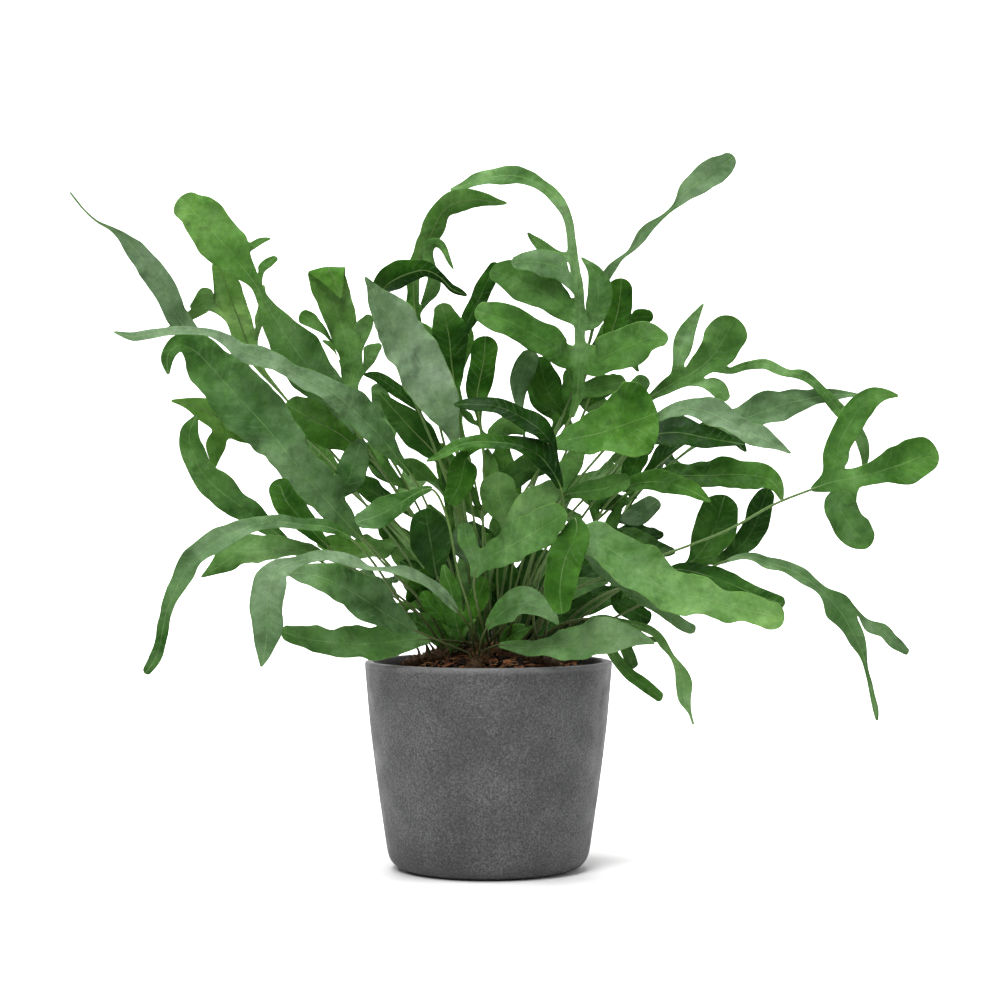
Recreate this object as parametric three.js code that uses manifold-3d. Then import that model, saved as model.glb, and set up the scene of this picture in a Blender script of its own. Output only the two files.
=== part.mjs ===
import * as THREE from "three";
import { mergeVertices } from "three/addons/utils/BufferGeometryUtils.js";
import Module from "manifold-3d";

const wasm = await Module();
wasm.setup();
const { Manifold } = wasm;

// Pot: outside radius and height pairs from the foot up, and the wall.
const POT_HEIGHT = 166.5;
const POT_SIDE = [[62, 0], [69, 1], [74.5, 3.5], [78.3, 7.5], [80.7, 13], [84.5, 38], [91.3, 87],
  [94.6, 112], [96.8, 138]];
const RIM_RADIUS = 99;
const WALL = 6;
const LIP = 2.4;
const FLOOR_THICKNESS = 7;
const CLEARANCE = 0.3;

// Soil: height of its edge and of the low mound in the middle.
const SOIL_EDGE = 154;
const SOIL_MOUND = 15;
const SOIL_RADIUS = 88;

// Rhizome: arms that creep over the soil, each carrying fronds in two staggered rows.
const ARM_ANGLES = [20, 80, 140, 200, 260, 320];
const ARM_LENGTH = 66;
const ARM_RADIUS = 7.2;
const ARM_RISE = 3;
const FIRST_PLACE = 9;
const PLACE_STEP = 6;
const PLACE_SWAY = 3.4;

// Stipes and blades.
const STIPE_HALF = 1.2;
const HOLE_RADIUS = 2.7;
const HOLE_DEPTH = 1.3;
const EDGE_HALF = 0.38;
const STIPE_SPACING = 26;
const BLADE_SPACING = 16;
const STRAIGHT = 1.6;
const LONGEST_STEP = 40;

// Points of the fronds are [side, up, depth, half width] as they show in a level front view.
// The eye of that view stands at this side, distance and height; the floor lies 7 mm above its zero.
const EYE = [10, 2000, 300];
const FLOOR_IN_VIEW = 7;

const FRONDS = [
  // Left, high.
  {
    name: "frond_left_spear", foot: [2, 5],
    stem: [[-40, 235, 22], [-120, 318, 40], [-190, 388, 46]],
    blade: [[-228, 424, 46, 3], [-241, 438, 46, 8], [-250, 450, 44, 9], [-254, 461, 42, 9.5],
      [-260, 472, 40, 10.5],
      [-268, 483, 37, 9.5], [-276, 494, 34, 8.5], [-286, 505, 31, 7], [-294, 513, 29, 4],
      [-302, 519, 28, 1.7],
      [-311, 523, 26, 1], [-321, 531, 25, 0.9], [-335, 548, 24, 0.7]],
    face: [[-0.2, -1, 0.5], [-0.3, -1, 0.3], [0.2, -1, 0.2]],
    lobes: [],
  },
  {
    name: "frond_left_paddle", foot: [3, 1],
    stem: [[-30, 240, 0], [-72, 305, -2]],
    blade: [[-105, 355, -3, 3], [-126, 386, -3, 12], [-138, 400, -4, 17], [-148, 413, -5, 19],
      [-160, 430, -6, 17],
      [-170, 445, -6, 11], [-180, 462, -6, 5.5], [-187, 475, -6, 5], [-198, 489, -8, 12],
      [-211, 505, -10, 17],
      [-224, 519, -12, 18], [-234, 530, -14, 16], [-240, 536, -15, 13]],
    face: [[0.1, -1, 0.5], [-0.5, -1, 0], [0.1, -1, 0.5]],
    lobes: [
      { at: 8.4, root: 4, path: [[-191, 503, -3, 3], [-183, 509, 0, 3], [-174, 511, 2, 0.9]] },
      { at: 7, root: 4, path: [[-182, 486, -4, 4], [-176, 491, -2, 4], [-171, 495, 0, 2.6]] },
    ],
  },
  {
    name: "frond_left_back", foot: [2, 4],
    stem: [[-40, 240, 42], [-110, 322, 58], [-165, 386, 62]],
    blade: [[-186, 412, 62, 4], [-194, 430, 62, 9], [-200, 447, 62, 10], [-206, 462, 62, 12],
      [-211, 477, 62, 10],
      [-216, 489, 62, 6]],
    face: [[-0.4, 1, 0.5], [-0.2, 1, 0.4]],
    lobes: [
      { at: -2.3, root: 4, path: [[-45, 234, 36, 5], [-54, 236, 32, 8], [-64, 239, 30, 8],
        [-73, 244, 30, 4]] },
      { at: 2.8, root: 8, path: [[-217, 464, 60, 10], [-227, 462, 58, 8], [-238, 457, 56, 2]] },
      { at: 1, root: 5, path: [[-185, 440, 64, 4.5], [-181, 453, 65, 4], [-180, 465, 66, 2.5],
        [-180, 474, 66, 1]] },
    ],
  },
  {
    name: "frond_grey_ribbon", foot: [3, 2],
    stem: [[-25, 230, -24], [-46, 290, -35]],
    blade: [[-62, 322, -42, 2.5], [-72, 334, -45, 4.5], [-84, 350, -49, 9], [-95, 361, -53, 13],
      [-110, 375, -57, 13],
      [-124, 387, -61, 10], [-140, 395, -64, 9], [-155, 402, -67, 6.5], [-170, 411, -70, 7],
      [-186, 416, -73, 9],
      [-198, 421, -75, 8], [-210, 429, -77, 5], [-222, 435, -79, 3.5], [-240, 437, -81, 3.5],
      [-258, 436, -82, 3.5],
      [-272, 434, -83, 4], [-285, 432, -84, 3.5], [-300, 436.5, -85, 0.7]],
    face: [[0.2, -1, 0.4], [0.1, -0.9, 0.6], [0, -1, 0.5]],
    lobes: [],
  },
  {
    name: "frond_left_broad", foot: [3, 4],
    stem: [[-55, 222, -30], [-85, 252, -38]],
    blade: [[-102, 271, -42, 3], [-113, 283, -43, 7], [-125, 296, -44, 12], [-140, 313, -45, 17],
      [-155, 331, -46, 16],
      [-168, 348, -46, 18], [-180, 362, -45, 22], [-195, 378, -44, 23], [-210, 394, -43, 22],
      [-224, 410, -43, 18],
      [-237, 422, -45, 12], [-249, 425, -50, 8], [-257, 416, -55, 6], [-256, 402, -57, 0.9]],
    face: [[0.3, -1, 0.3], [0.2, -1, 0.4], [0, -0.9, 0.6]],
    lobes: [
      { at: 2.4, root: 9, path: [[-114, 313, -38, 11], [-109, 327, -34, 12], [-105, 340, -30, 9.5],
        [-103, 346, -28, 6]] },
    ],
  },
  {
    name: "frond_left_bright", foot: [2, 6],
    stem: [[-80, 250, 14], [-140, 312, 18]],
    blade: [[-178, 345, 17, 4], [-200, 359, 15, 10], [-215, 367, 14, 12], [-228, 374, 13, 9],
      [-240, 379, 12, 5],
      [-254, 381, 11, 0.8]],
    face: [[-0.3, 1, 0.6], [-0.3, 1, 0.4]],
    lobes: [
      { at: -1.8, root: 5, path: [[-104, 264, 22, 5], [-115, 264, 24, 9], [-126, 265, 26, 9],
        [-135, 266, 28, 3]] },
      { at: -2.5, root: 4, path: [[-65, 218, 28, 4], [-72, 212, 30, 7], [-79, 205, 32, 4]] },
      { at: 1.6, root: 7, path: [[-216, 352, 17, 9], [-219, 340, 18, 7], [-219, 327, 20, 0.9]] },
    ],
  },
  {
    name: "frond_left_wavy", foot: [3, 6],
    stem: [[-75, 215, -18], [-130, 250, -20]],
    blade: [[-162, 270, -21, 3], [-180, 282, -21, 7], [-192, 291, -21, 9.5], [-203, 300, -21, 11],
      [-214, 308, -21, 12],
      [-225, 318, -21, 12], [-233, 331, -21, 9], [-238, 344, -21, 9], [-239, 356, -19, 7.5],
      [-233, 370, -15, 1]],
    face: [[0.2, -1, 0.6], [0, -1, 0.3]],
    lobes: [],
  },
  {
    name: "frond_left_round", foot: [3, 8],
    stem: [[-85, 226, -46]],
    blade: [[-128, 264, -58, 3], [-141, 277, -61, 7], [-152, 289, -63, 10], [-162, 301, -65, 10.5],
      [-166, 311, -66, 10]],
    face: [[0, -1, 0.6], [0.1, -1, 0.2]],
    lobes: [],
  },
  {
    name: "frond_left_low_arch", foot: [3, 7],
    stem: [[-72, 222, -52]],
    blade: [[-110, 271, -78, 2.5], [-125, 279, -82, 4], [-138, 281, -84, 5], [-151, 282, -85, 5],
      [-165, 284, -86, 5],
      [-180, 283, -88, 5.5], [-195, 279, -90, 7], [-208, 273, -92, 8], [-220, 267, -93, 9],
      [-230, 260, -95, 9],
      [-239, 250, -96, 8.5], [-247, 236, -98, 7.5], [-254, 222, -99, 6], [-259, 207, -100, 5],
      [-262, 190, -101, 5],
      [-266, 175, -102, 5], [-273, 165, -103, 3.8]],
    face: [[0, -0.8, 1], [-0.2, -1, 0.5], [-0.3, -1, 0.1]],
    lobes: [],
  },
  {
    name: "frond_left_low_green", foot: [3, 5],
    stem: [[-60, 215, -38], [-95, 240, -46]],
    blade: [[-130, 255, -52, 4], [-148, 261, -54, 6.5], [-165, 263, -55, 8], [-180, 263, -56, 10],
      [-195, 261, -57, 13],
      [-207, 255, -58, 11], [-218, 247, -60, 5.5], [-230, 240, -62, 0.8]],
    face: [[0, -0.7, 1], [-0.2, -1, 0.7]],
    lobes: [],
  },
  {
    name: "frond_left_hanging", foot: [4, 5],
    stem: [],
    blade: [[-24, 212, -82, 2], [-31, 220, -87, 3.5], [-39, 228, -92, 4.5], [-49, 235, -98, 5],
      [-61, 241, -104, 5],
      [-73, 245, -109, 3.7], [-86, 246, -114, 2.4], [-97, 247, -119, 2.8], [-108, 252, -124, 4.5],
      [-122, 256, -130, 5],
      [-137, 256, -136, 4.5], [-150, 253, -141, 4.3], [-160, 250, -145, 6.5], [-168, 246, -148, 9.5],
      [-173, 238, -151, 13], [-176, 225, -153, 14], [-177, 210, -154, 13], [-177, 196, -155, 11.5],
      [-179, 182, -156, 7.5], [-182, 168, -157, 0.8]],
    face: [[0, -1, 0.7], [-0.1, -0.6, 1], [-0.2, -1, 0.5], [-0.1, -1, 0.1]],
    lobes: [],
  },
  {
    name: "frond_left_dark", foot: [4, 8],
    stem: [],
    blade: [[-56, 196, -78, 3.5], [-66, 201, -82, 7], [-77, 207, -86, 12], [-89, 215, -90, 16],
      [-101, 223, -94, 17],
      [-115, 231, -98, 15], [-130, 238, -102, 12], [-144, 242, -106, 9], [-155, 243, -109, 5],
      [-162, 243, -111, 1]],
    face: [[-0.1, -0.8, 0.8], [-0.2, -1, 0.6]],
    lobes: [],
  },
  {
    name: "frond_left_rim", foot: [4, 2],
    stem: [],
    blade: [[-46, 190, -56, 2.5], [-60, 190, -61, 8], [-76, 188, -67, 13], [-91, 187, -73, 14],
      [-106, 186, -79, 13],
      [-120, 187, -85, 11], [-135, 189, -91, 10], [-150, 191, -97, 9], [-161, 195, -102, 6.5]],
    face: [[0, -0.8, 0.8], [-0.2, -1, 0.5]],
    lobes: [],
  },
  // Middle, left of the axis.
  {
    name: "frond_folded_tip", foot: [2, 1],
    stem: [[-35, 250, 18], [-75, 330, 25]],
    blade: [[-103, 372, 26, 3], [-110, 392, 26, 6], [-110, 410, 26, 9], [-113, 427, 26, 10],
      [-118, 442, 26, 12],
      [-123, 457, 25, 14], [-127, 470, 22, 14], [-130, 479, 18, 13]],
    face: [[-0.2, -1, 0.3], [0.1, -1, 0.4], [0.1, -0.8, 0.9]],
    lobes: [
      { at: -0.7, root: 5, path: [[-79, 352, 33, 5], [-80, 364, 37, 8], [-84, 378, 39, 9],
        [-89, 391, 40, 5]] },
      { at: -1.2, root: 5, path: [[-78, 320, 30, 6], [-86, 327, 34, 9], [-92, 337, 37, 8],
        [-96, 345, 38, 4]] },
      { at: 3, root: 5, path: [[-127, 436, 24, 5], [-138, 443, 23, 6.5], [-147, 448, 22, 6]] },
      { at: 1.9, root: 5, path: [[-122, 418, 22, 4.5], [-128, 424, 20, 5], [-134, 429, 18, 1.5]] },
      { at: 2.8, root: 5, path: [[-102, 434, 22, 7.5], [-98, 442, 20, 7], [-96, 447, 18, 4]] },
      { at: 1.6, root: 6, path: [[-99, 414, 24, 8], [-92, 421, 22, 7], [-88, 424, 20, 4]] },
    ],
  },
  {
    name: "frond_big_grey", foot: [3, 0],
    stem: [[-12, 250, -20], [-22, 312, -36]],
    blade: [[-26, 345, -43, 2.5], [-32, 365, -47, 10], [-42, 384, -51, 17], [-51, 402, -55, 20],
      [-60, 418, -60, 19.5],
      [-70, 433, -66, 19], [-80, 449, -73, 16], [-88, 461, -79, 11], [-94, 472, -84, 4],
      [-99, 480, -88, 0.9]],
    face: [[0.2, -1, 0.2], [0.1, -1, 0.4], [0, -1, 0.8]],
    lobes: [
      { at: -2, root: 4, path: [[-18, 257, -26, 4], [-23, 265, -31, 9], [-20, 277, -34, 8]] },
    ],
  },
  {
    name: "frond_dark_pair", foot: [2, 2],
    stem: [[-18, 262, 2]],
    blade: [[-38, 333, -5, 4], [-48, 345, -6, 10], [-60, 357, -7, 13], [-70, 368, -8, 11], [-80, 379, -9, 6],
      [-87, 387, -9, 1.2]],
    face: [[-0.3, 0.6, 0.8], [-0.3, 0.8, 0.6]],
    lobes: [
      { at: -0.8, root: 4, path: [[-33, 268, -9, 6], [-44, 270, -12, 11], [-53, 278, -13, 10]] },
      { at: 2.3, root: 5, path: [[-57, 374, -14, 4], [-66, 383, -16, 5], [-77, 392, -17, 5.5],
        [-89, 400, -18, 4.5],
        [-100, 402, -19, 1]] },
    ],
  },
  {
    name: "frond_dark_tongue", foot: [1, 1],
    stem: [[-8, 260, 12], [-20, 340, 15]],
    blade: [[-26, 386, 15, 3], [-28, 401, 15, 7], [-30, 416, 15, 12], [-31, 430, 15, 15], [-34, 444, 14, 12],
      [-36, 453, 13, 8]],
    face: [[0.2, 0.8, 0.5], [0, 1, 0.3]],
    lobes: [
      { at: -1.3, root: 4, path: [[-6, 295, 21, 3], [1, 306, 25, 6], [2, 318, 28, 7], [1, 330, 30, 6],
        [-1, 340, 31, 3]] },
      { at: 3.5, root: 6, path: [[-18, 441, 22, 5.5], [-12, 453, 25, 7], [-6, 465, 28, 7.5],
        [0, 478, 30, 6.5],
        [5, 488, 31, 5]] },
    ],
  },
  {
    name: "frond_bright_round", foot: [1, 0],
    stem: [[-4, 260, 4], [-4, 340, 2]],
    blade: [[-8, 372, 0, 3], [-9, 385, -2, 9], [-7, 398, -4, 11], [-4, 411, -6, 11.5], [-3, 424, -7, 11]],
    face: [[0.1, 0.8, 0.6], [0, 1, 0.3]],
    lobes: [
      { at: -0.35, root: 4, path: [[-11, 359, 2, 4], [-17, 364, 2, 7], [-22, 370, 2, 6],
        [-26, 376, 2, 2.5]] },
      { at: -0.6, root: 4, path: [[0, 350, 8, 4], [9, 359, 12, 7.5], [19, 362, 14, 8], [27, 357, 14, 4]] },
      { at: -1.6, root: 4, path: [[9, 311, 8, 7], [23, 321, 10, 11], [36, 328, 11, 11], [47, 331, 12, 7]] },
    ],
  },
  {
    name: "frond_dark_arch", foot: [2, 0],
    stem: [[-16, 260, -10], [-42, 340, -23], [-70, 405, -25]],
    blade: [[-88, 450, -25, 3], [-89, 464, -25, 5.5], [-82, 474, -25, 8], [-72, 480, -25, 9],
      [-61, 484, -25, 8.5],
      [-51, 486, -24, 7], [-43, 483, -23, 4.5], [-36, 478, -22, 2.7], [-29, 470, -21, 2.7],
      [-23, 468, -20, 3],
      [-17, 465, -20, 0.8]],
    face: [[-0.8, -0.2, 0.4], [-0.2, 0.8, 0.6], [0.4, 0.7, 0.5]],
    lobes: [],
  },
  {
    name: "frond_top_arch", foot: [1, 2],
    stem: [[-15, 270, 26], [-42, 372, 34]],
    blade: [[-55, 432, 36, 2.5], [-59, 452, 36, 5], [-60, 470, 36, 5], [-59, 485, 36, 5], [-54, 499, 35, 5.5],
      [-48, 510, 34, 7], [-43, 521, 33, 8.5], [-38, 531, 32, 9], [-30, 538, 31, 9], [-19, 541, 30, 8],
      [-7, 542, 29, 6],
      [4, 540, 28, 4], [15, 539, 27, 0.8]],
    face: [[-0.5, 0.8, 0.2], [-0.6, 0.8, 0.3], [0, 0.8, 0.8]],
    lobes: [
      { at: -1.3, root: 4, path: [[-31, 262, 34, 5], [-36, 274, 38, 8], [-42, 286, 40, 8],
        [-47, 296, 41, 3]] },
      { at: 1.1, root: 4, path: [[-47, 464, 22, 5], [-43, 477, 16, 5.5], [-46, 490, 13, 4.5],
        [-49, 500, 12, 4.5],
        [-45, 507, 11, 4.5], [-39, 507, 10, 4], [-35, 501, 9, 2.5], [-32, 494, 9, 2], [-28, 486, 8, 0.8]] },
    ],
  },
  // Middle, right of the axis.
  {
    name: "frond_arching_crown", foot: [0, 0],
    stem: [[10, 270, -4], [46, 335, -8]],
    blade: [[66, 368, -9, 2.5], [71, 385, -9, 3.5], [72, 400, -9, 5], [73, 415, -9, 5], [73, 430, -9, 5],
      [73, 445, -9, 5], [73, 460, -9, 4.5], [71, 475, -9, 5], [69, 488, -9, 5], [67, 500, -9, 4],
      [66, 512, -9, 3.5],
      [64, 525, -9, 4], [59, 536, -9, 4.5], [52, 545, -9, 5], [43, 553, -9, 5.5], [32, 558, -9, 6.5],
      [20, 561, -9, 7.5], [8, 560.5, -9, 7.5], [-5, 558, -9, 6.5], [-17, 554, -9, 4], [-31, 550, -9, 0.8]],
    face: [[-0.1, -1, 0.3], [0.1, -1, 0.3], [0.3, -1, 0.4], [0.1, -0.8, 0.8]],
    lobes: [
      { at: 3, root: 8, path: [[60, 417, -14, 11], [46, 428, -20, 13], [31, 437, -25, 13.5],
        [15, 445, -29, 12.5],
        [2, 449, -32, 11], [-5, 451, -33, 8]] },
      { at: 5.5, root: 7, path: [[60, 456, -4, 11], [46, 466, 0, 14.5], [31, 474, 3, 15], [17, 480, 5, 12.5],
        [8, 483, 6, 9]] },
      { at: 7, root: 7, path: [[58, 486, -13, 9], [44, 491, -17, 11], [31, 492, -20, 9.5],
        [23, 491, -22, 6]] },
      { at: 8.7, root: 4, path: [[57, 497, -7, 3.5], [48, 501, -6, 4.5], [39, 507, -5, 4.5],
        [31, 516, -4, 0.9]] },
      { at: 5, root: 5, path: [[81, 441, -11, 7], [87, 456, -13, 10], [88, 471, -14, 9.5],
        [84, 485, -14, 5.5],
        [74, 496, -14, 0.8]] },
      { at: 3, root: 8, path: [[86, 413, -16, 13], [101, 420, -21, 16], [116, 426, -26, 16],
        [130, 431, -30, 13],
        [139, 430, -33, 6]] },
      { at: 1.3, root: 6, path: [[83, 391, -2, 8], [95, 393, 2, 9], [105, 395, 4, 7]] },
    ],
  },
  {
    name: "frond_right_spear", foot: [0, 1],
    stem: [[25, 280, 20], [60, 370, 28], [80, 425, 30]],
    blade: [[86, 452, 30, 2], [88, 467, 30, 3], [93, 479, 30, 4], [100, 489, 30, 3.5], [107, 496, 30, 1.8],
      [113, 500, 30, 1.7], [118, 506, 30, 3.5], [123, 514, 30, 5], [130, 521, 30, 4], [138, 527, 30, 1.9],
      [145, 533, 30, 1.6], [150, 537.5, 30, 2.5], [160, 549, 30, 9], [172, 558, 30, 11], [184, 567, 30, 10.5],
      [192, 573, 30, 7.5]],
    face: [[0.2, -1, 0.3], [0.4, -0.8, 0.4], [0.3, -1, 0.3]],
    lobes: [
      { at: -2.5, root: 3, path: [[32, 340, 25, 1.4], [26, 370, 27, 2], [24, 388, 28, 6],
        [27, 402, 30, 10], [33, 415, 30, 8]] },
    ],
  },
  {
    name: "frond_bright_block", foot: [1, 4],
    stem: [[40, 290, 45], [80, 380, 53]],
    blade: [[95, 422, 56, 3], [99, 437, 56, 8], [103, 450, 56, 10], [105, 462, 56, 9.5], [106, 472, 55, 9]],
    face: [[0.2, 1, 0.5], [0.1, 1, 0.3]],
    lobes: [
      { at: -1.3, root: 4, path: [[59, 373, 49, 4], [48, 386, 46, 10], [44, 400, 44, 12], [42, 410, 43, 8]] },
      { at: -1, root: 4, path: [[87, 384, 50, 6], [94, 392, 49, 8], [101, 397, 48, 6]] },
      { at: 1.4, root: 5, path: [[112, 444, 57, 6], [121, 448, 57, 6.5], [128, 448, 57, 5]] },
    ],
  },
  {
    name: "frond_right_fan", foot: [0, 2],
    stem: [[45, 280, 8], [95, 345, 10]],
    blade: [[130, 384, 10, 3], [142, 391, 10, 6], [152, 397, 10, 7], [163, 403, 10, 8.5], [174, 411, 9, 11.5],
      [183, 421, 8, 14.5], [189, 432, 7, 16], [192, 437, 6, 15]],
    face: [[0, -1, 0.5], [0.2, -1, 0.3]],
    lobes: [
      { at: -1.5, root: 4, path: [[80, 304, 2, 5], [90, 301, -2, 8], [101, 300, -4, 8], [110, 301, -5, 4]] },
      { at: -0.4, root: 4, path: [[112, 377, 22, 5], [117, 388, 25, 8], [123, 396, 26, 7]] },
      { at: -1.7, root: 4, path: [[58, 314, 16, 7], [65, 327, 18, 9], [71, 340, 19, 7]] },
      { at: 2.3, root: 4, path: [[152, 411, 15, 4.5], [154, 421, 18, 7.5], [158, 434, 20, 8],
        [164, 446, 22, 4.5],
        [172, 459, 24, 0.8]] },
      { at: 2.9, root: 5, path: [[174, 396, 3, 6.5], [183, 391, -1, 8], [189, 384, -4, 4.5]] },
      { at: 4.3, root: 3, path: [[192, 404, 2, 3.5], [203, 408, -4, 3.5], [213, 410, -10, 3.5],
        [222, 410, -16, 5],
        [231, 406, -21, 4.5], [240, 403, -25, 3.3], [250, 402, -29, 4.5], [258, 397, -32, 3.8],
        [265, 391, -34, 4],
        [271, 385, -36, 4.5], [277, 378, -37, 5.5], [284, 369, -38, 6], [294, 358, -38, 5],
        [300, 346, -38, 5],
        [301, 334, -38, 3.5], [300, 327, -38, 1]] },
    ],
  },
  {
    name: "frond_right_mid", foot: [0, 4],
    stem: [[72, 258, 2], [128, 316, -1], [155, 338, -4]],
    blade: [[172, 350, -7, 3.5], [185, 358, -9, 8], [198, 364, -11, 11], [212, 369, -13, 12.5],
      [226, 374, -14, 12.5],
      [240, 379, -15, 10.5], [255, 382, -16, 8], [270, 385, -17, 5], [284, 386, -18, 3.5],
      [297, 386, -19, 0.8]],
    face: [[0, -0.8, 0.8], [0.2, -1, 0.5]],
    lobes: [
      { at: -2.5, root: 4, path: [[112, 286, 6, 6], [122, 290, 8, 9], [132, 298, 9, 7]] },
    ],
  },
  // Right, high and low.
  {
    name: "frond_right_grey", foot: [5, 3],
    stem: [[58, 262, -50], [102, 325, -74]],
    blade: [[128, 361, -98, 2.5], [143, 371, -104, 4.5], [155, 375, -108, 7], [167, 374, -112, 9.5],
      [180, 370, -116, 11],
      [192, 364, -120, 11], [205, 357, -124, 9], [218, 351, -128, 8], [230, 346, -131, 5],
      [242, 339, -134, 0.8]],
    face: [[0, -0.8, 0.8], [0.2, -1, 0.5]],
    lobes: [],
  },
  {
    name: "frond_right_shaded", foot: [5, 1],
    stem: [[50, 270, -26], [95, 322, -36]],
    blade: [[122, 349, -42, 5], [140, 355, -44, 11], [155, 355, -46, 13], [170, 352, -48, 10],
      [187, 349, -50, 6],
      [205, 346, -52, 0.8]],
    face: [[0, -0.7, 0.9], [0.2, -1, 0.5]],
    lobes: [],
  },
  {
    name: "frond_right_big", foot: [5, 0],
    stem: [[15, 250, -40], [35, 310, -62]],
    blade: [[50, 345, -76, 4], [62, 349, -81, 9], [76, 352, -87, 13], [90, 355, -93, 19], [104, 360, -99, 25],
      [116, 364, -104, 30], [124, 367, -107, 31]],
    face: [[0, -0.9, 0.7], [0.1, -1, 0.4]],
    lobes: [],
  },
  {
    name: "frond_right_branch", foot: [5, 4],
    stem: [[60, 225, -60], [130, 254, -76], [192, 278, -84], [230, 299, -87]],
    blade: [[258, 310, -88, 2], [266, 313, -88, 6], [275, 316, -88, 8], [290, 319, -88, 8],
      [305, 322, -88, 8.5],
      [318, 326, -88, 12], [330, 330, -88, 16], [341, 334, -88, 17], [348, 337, -88, 15]],
    face: [[0, -1, 0.5], [0.2, -1, 0.3]],
    lobes: [
      { at: 2.2, root: 8, path: [[278, 333, -85, 11], [280, 346, -83, 10], [288, 361, -81, 10],
        [296, 374, -79, 10],
        [306, 383, -77, 8.5], [317, 386, -76, 5], [328, 385, -75, 0.9]] },
      { at: 2.5, root: 9, path: [[280, 298, -90, 14], [286, 286, -92, 15.5], [294, 275, -94, 13],
        [299, 270, -95, 10]] },
    ],
  },
  {
    name: "frond_right_hook", foot: [0, 3],
    stem: [[60, 255, -8], [100, 298, -14]],
    blade: [[130, 318, -19, 4], [145, 320, -21, 7], [160, 321, -22, 9], [178, 321, -24, 11.5],
      [195, 322, -26, 12],
      [210, 321, -28, 11.5], [222, 319, -30, 10], [231, 312, -32, 5.5], [235, 301, -33, 0.9]],
    face: [[0, -0.7, 0.9], [0.1, -1, 0.4]],
    lobes: [
      { at: -0.8, root: 5, path: [[98, 276, -14, 6], [111, 269, -15, 9], [124, 264, -14, 10],
        [137, 261, -12, 8], [147, 261, -10, 3]] },
      { at: -1.3, root: 4, path: [[85, 298, -10, 6], [93, 307, -8, 9], [104, 313, -7, 8]] },
    ],
  },
  {
    name: "frond_right_dark", foot: [0, 6],
    stem: [[85, 222, -22], [135, 242, -29]],
    blade: [[161, 251, -33, 3.5], [171, 262, -35, 11], [178, 273, -37, 16], [183, 285, -38, 17],
      [186, 295, -39, 14]],
    face: [[0, -1, 0.5], [0, -1, 0.2]],
    lobes: [
      { at: -1.6, root: 4, path: [[103, 219, -13, 6], [114, 213, -9, 9], [125, 208, -7, 7]] },
      { at: 0.8, root: 4, path: [[190, 256, -28, 5], [204, 267, -24, 9], [213, 281, -22, 10],
        [218, 295, -20, 9.5],
        [222, 306, -24, 7]] },
    ],
  },
  {
    name: "frond_right_pointed", foot: [5, 6],
    stem: [[60, 238, -40], [84, 283, -54]],
    blade: [[106, 310, -60, 3.5], [120, 315, -62, 6.5], [135, 316, -64, 8.5], [150, 313, -66, 9],
      [164, 308, -68, 6.5],
      [178, 300, -70, 0.8]],
    face: [[0, -0.8, 0.8], [0.2, -1, 0.6]],
    lobes: [],
  },
  {
    name: "frond_right_small", foot: [5, 2],
    stem: [[26, 228, -48], [42, 275, -64]],
    blade: [[60, 305, -76, 3], [75, 308, -80, 6.5], [90, 310, -84, 8.5], [102, 314, -87, 8.5],
      [108, 316, -89, 7]],
    face: [[0, -0.8, 0.8], [0.2, -1, 0.6]],
    lobes: [],
  },
  {
    name: "frond_right_low_big", foot: [5, 7],
    stem: [[36, 208, -74], [47, 256, -99]],
    blade: [[66, 272, -110, 5], [79, 271, -114, 12], [92, 265, -118, 15.5], [105, 257, -122, 18],
      [118, 247, -126, 20],
      [130, 238, -129, 18.5], [142, 230, -132, 17], [155, 225, -134, 16], [170, 223, -136, 14.5],
      [185, 219, -138, 13],
      [200, 215, -140, 12.5], [215, 211, -142, 12], [229, 208, -143, 10]],
    face: [[0, -0.9, 0.7], [0.2, -1, 0.7], [0.2, -1, 0.5]],
    lobes: [
      { at: 0.7, root: 5, path: [[82, 252, -102, 5], [94, 244, -99, 6], [108, 234, -99, 6],
        [123, 223, -101, 6],
        [140, 212, -104, 5], [153, 203, -106, 5], [162, 198, -108, 4.5]] },
    ],
  },
  {
    name: "frond_right_low_dark", foot: [0, 7],
    stem: [[80, 212, -34], [115, 236, -50]],
    blade: [[145, 246, -60, 4], [160, 245, -63, 7], [175, 241, -66, 8], [190, 236, -69, 8],
      [204, 230, -72, 7.5],
      [218, 224, -74, 6.5], [233, 219, -76, 5]],
    face: [[0, -0.8, 0.8], [0.2, -1, 0.6]],
    lobes: [],
  },
  {
    name: "frond_right_low_arch", foot: [0, 8],
    stem: [[92, 203, -14], [150, 232, -34]],
    blade: [[190, 253, -46, 2], [204, 256, -49, 2.5], [214, 255, -51, 4], [224, 251, -53, 5.5],
      [235, 248, -55, 4.5],
      [247, 243, -57, 5.5], [258, 236, -59, 4.5], [268, 228, -61, 5], [276, 219, -63, 9], [284, 209, -65, 10],
      [290, 198, -66, 9], [296, 187, -67, 6.5], [300, 177, -68, 3], [302, 167, -69, 1.6],
      [305, 156, -69, 2.3],
      [307, 145, -70, 2.1], [310, 133, -70, 2.6], [311, 125, -70, 0.9]],
    face: [[0, -0.6, 1], [0.2, -1, 0.4], [0.2, -1, 0.1]],
    lobes: [
      { at: 9, root: 4, path: [[297, 206, -61, 4.5], [307, 199, -59, 5.5], [316, 197, -58, 5.5],
        [322, 190, -57, 4.7],
        [329, 185, -57, 4.7], [334, 181, -56, 3.5]] },
    ],
  },
  {
    name: "frond_rim_dangle", foot: [5, 5],
    stem: [[58, 202, -48]],
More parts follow.
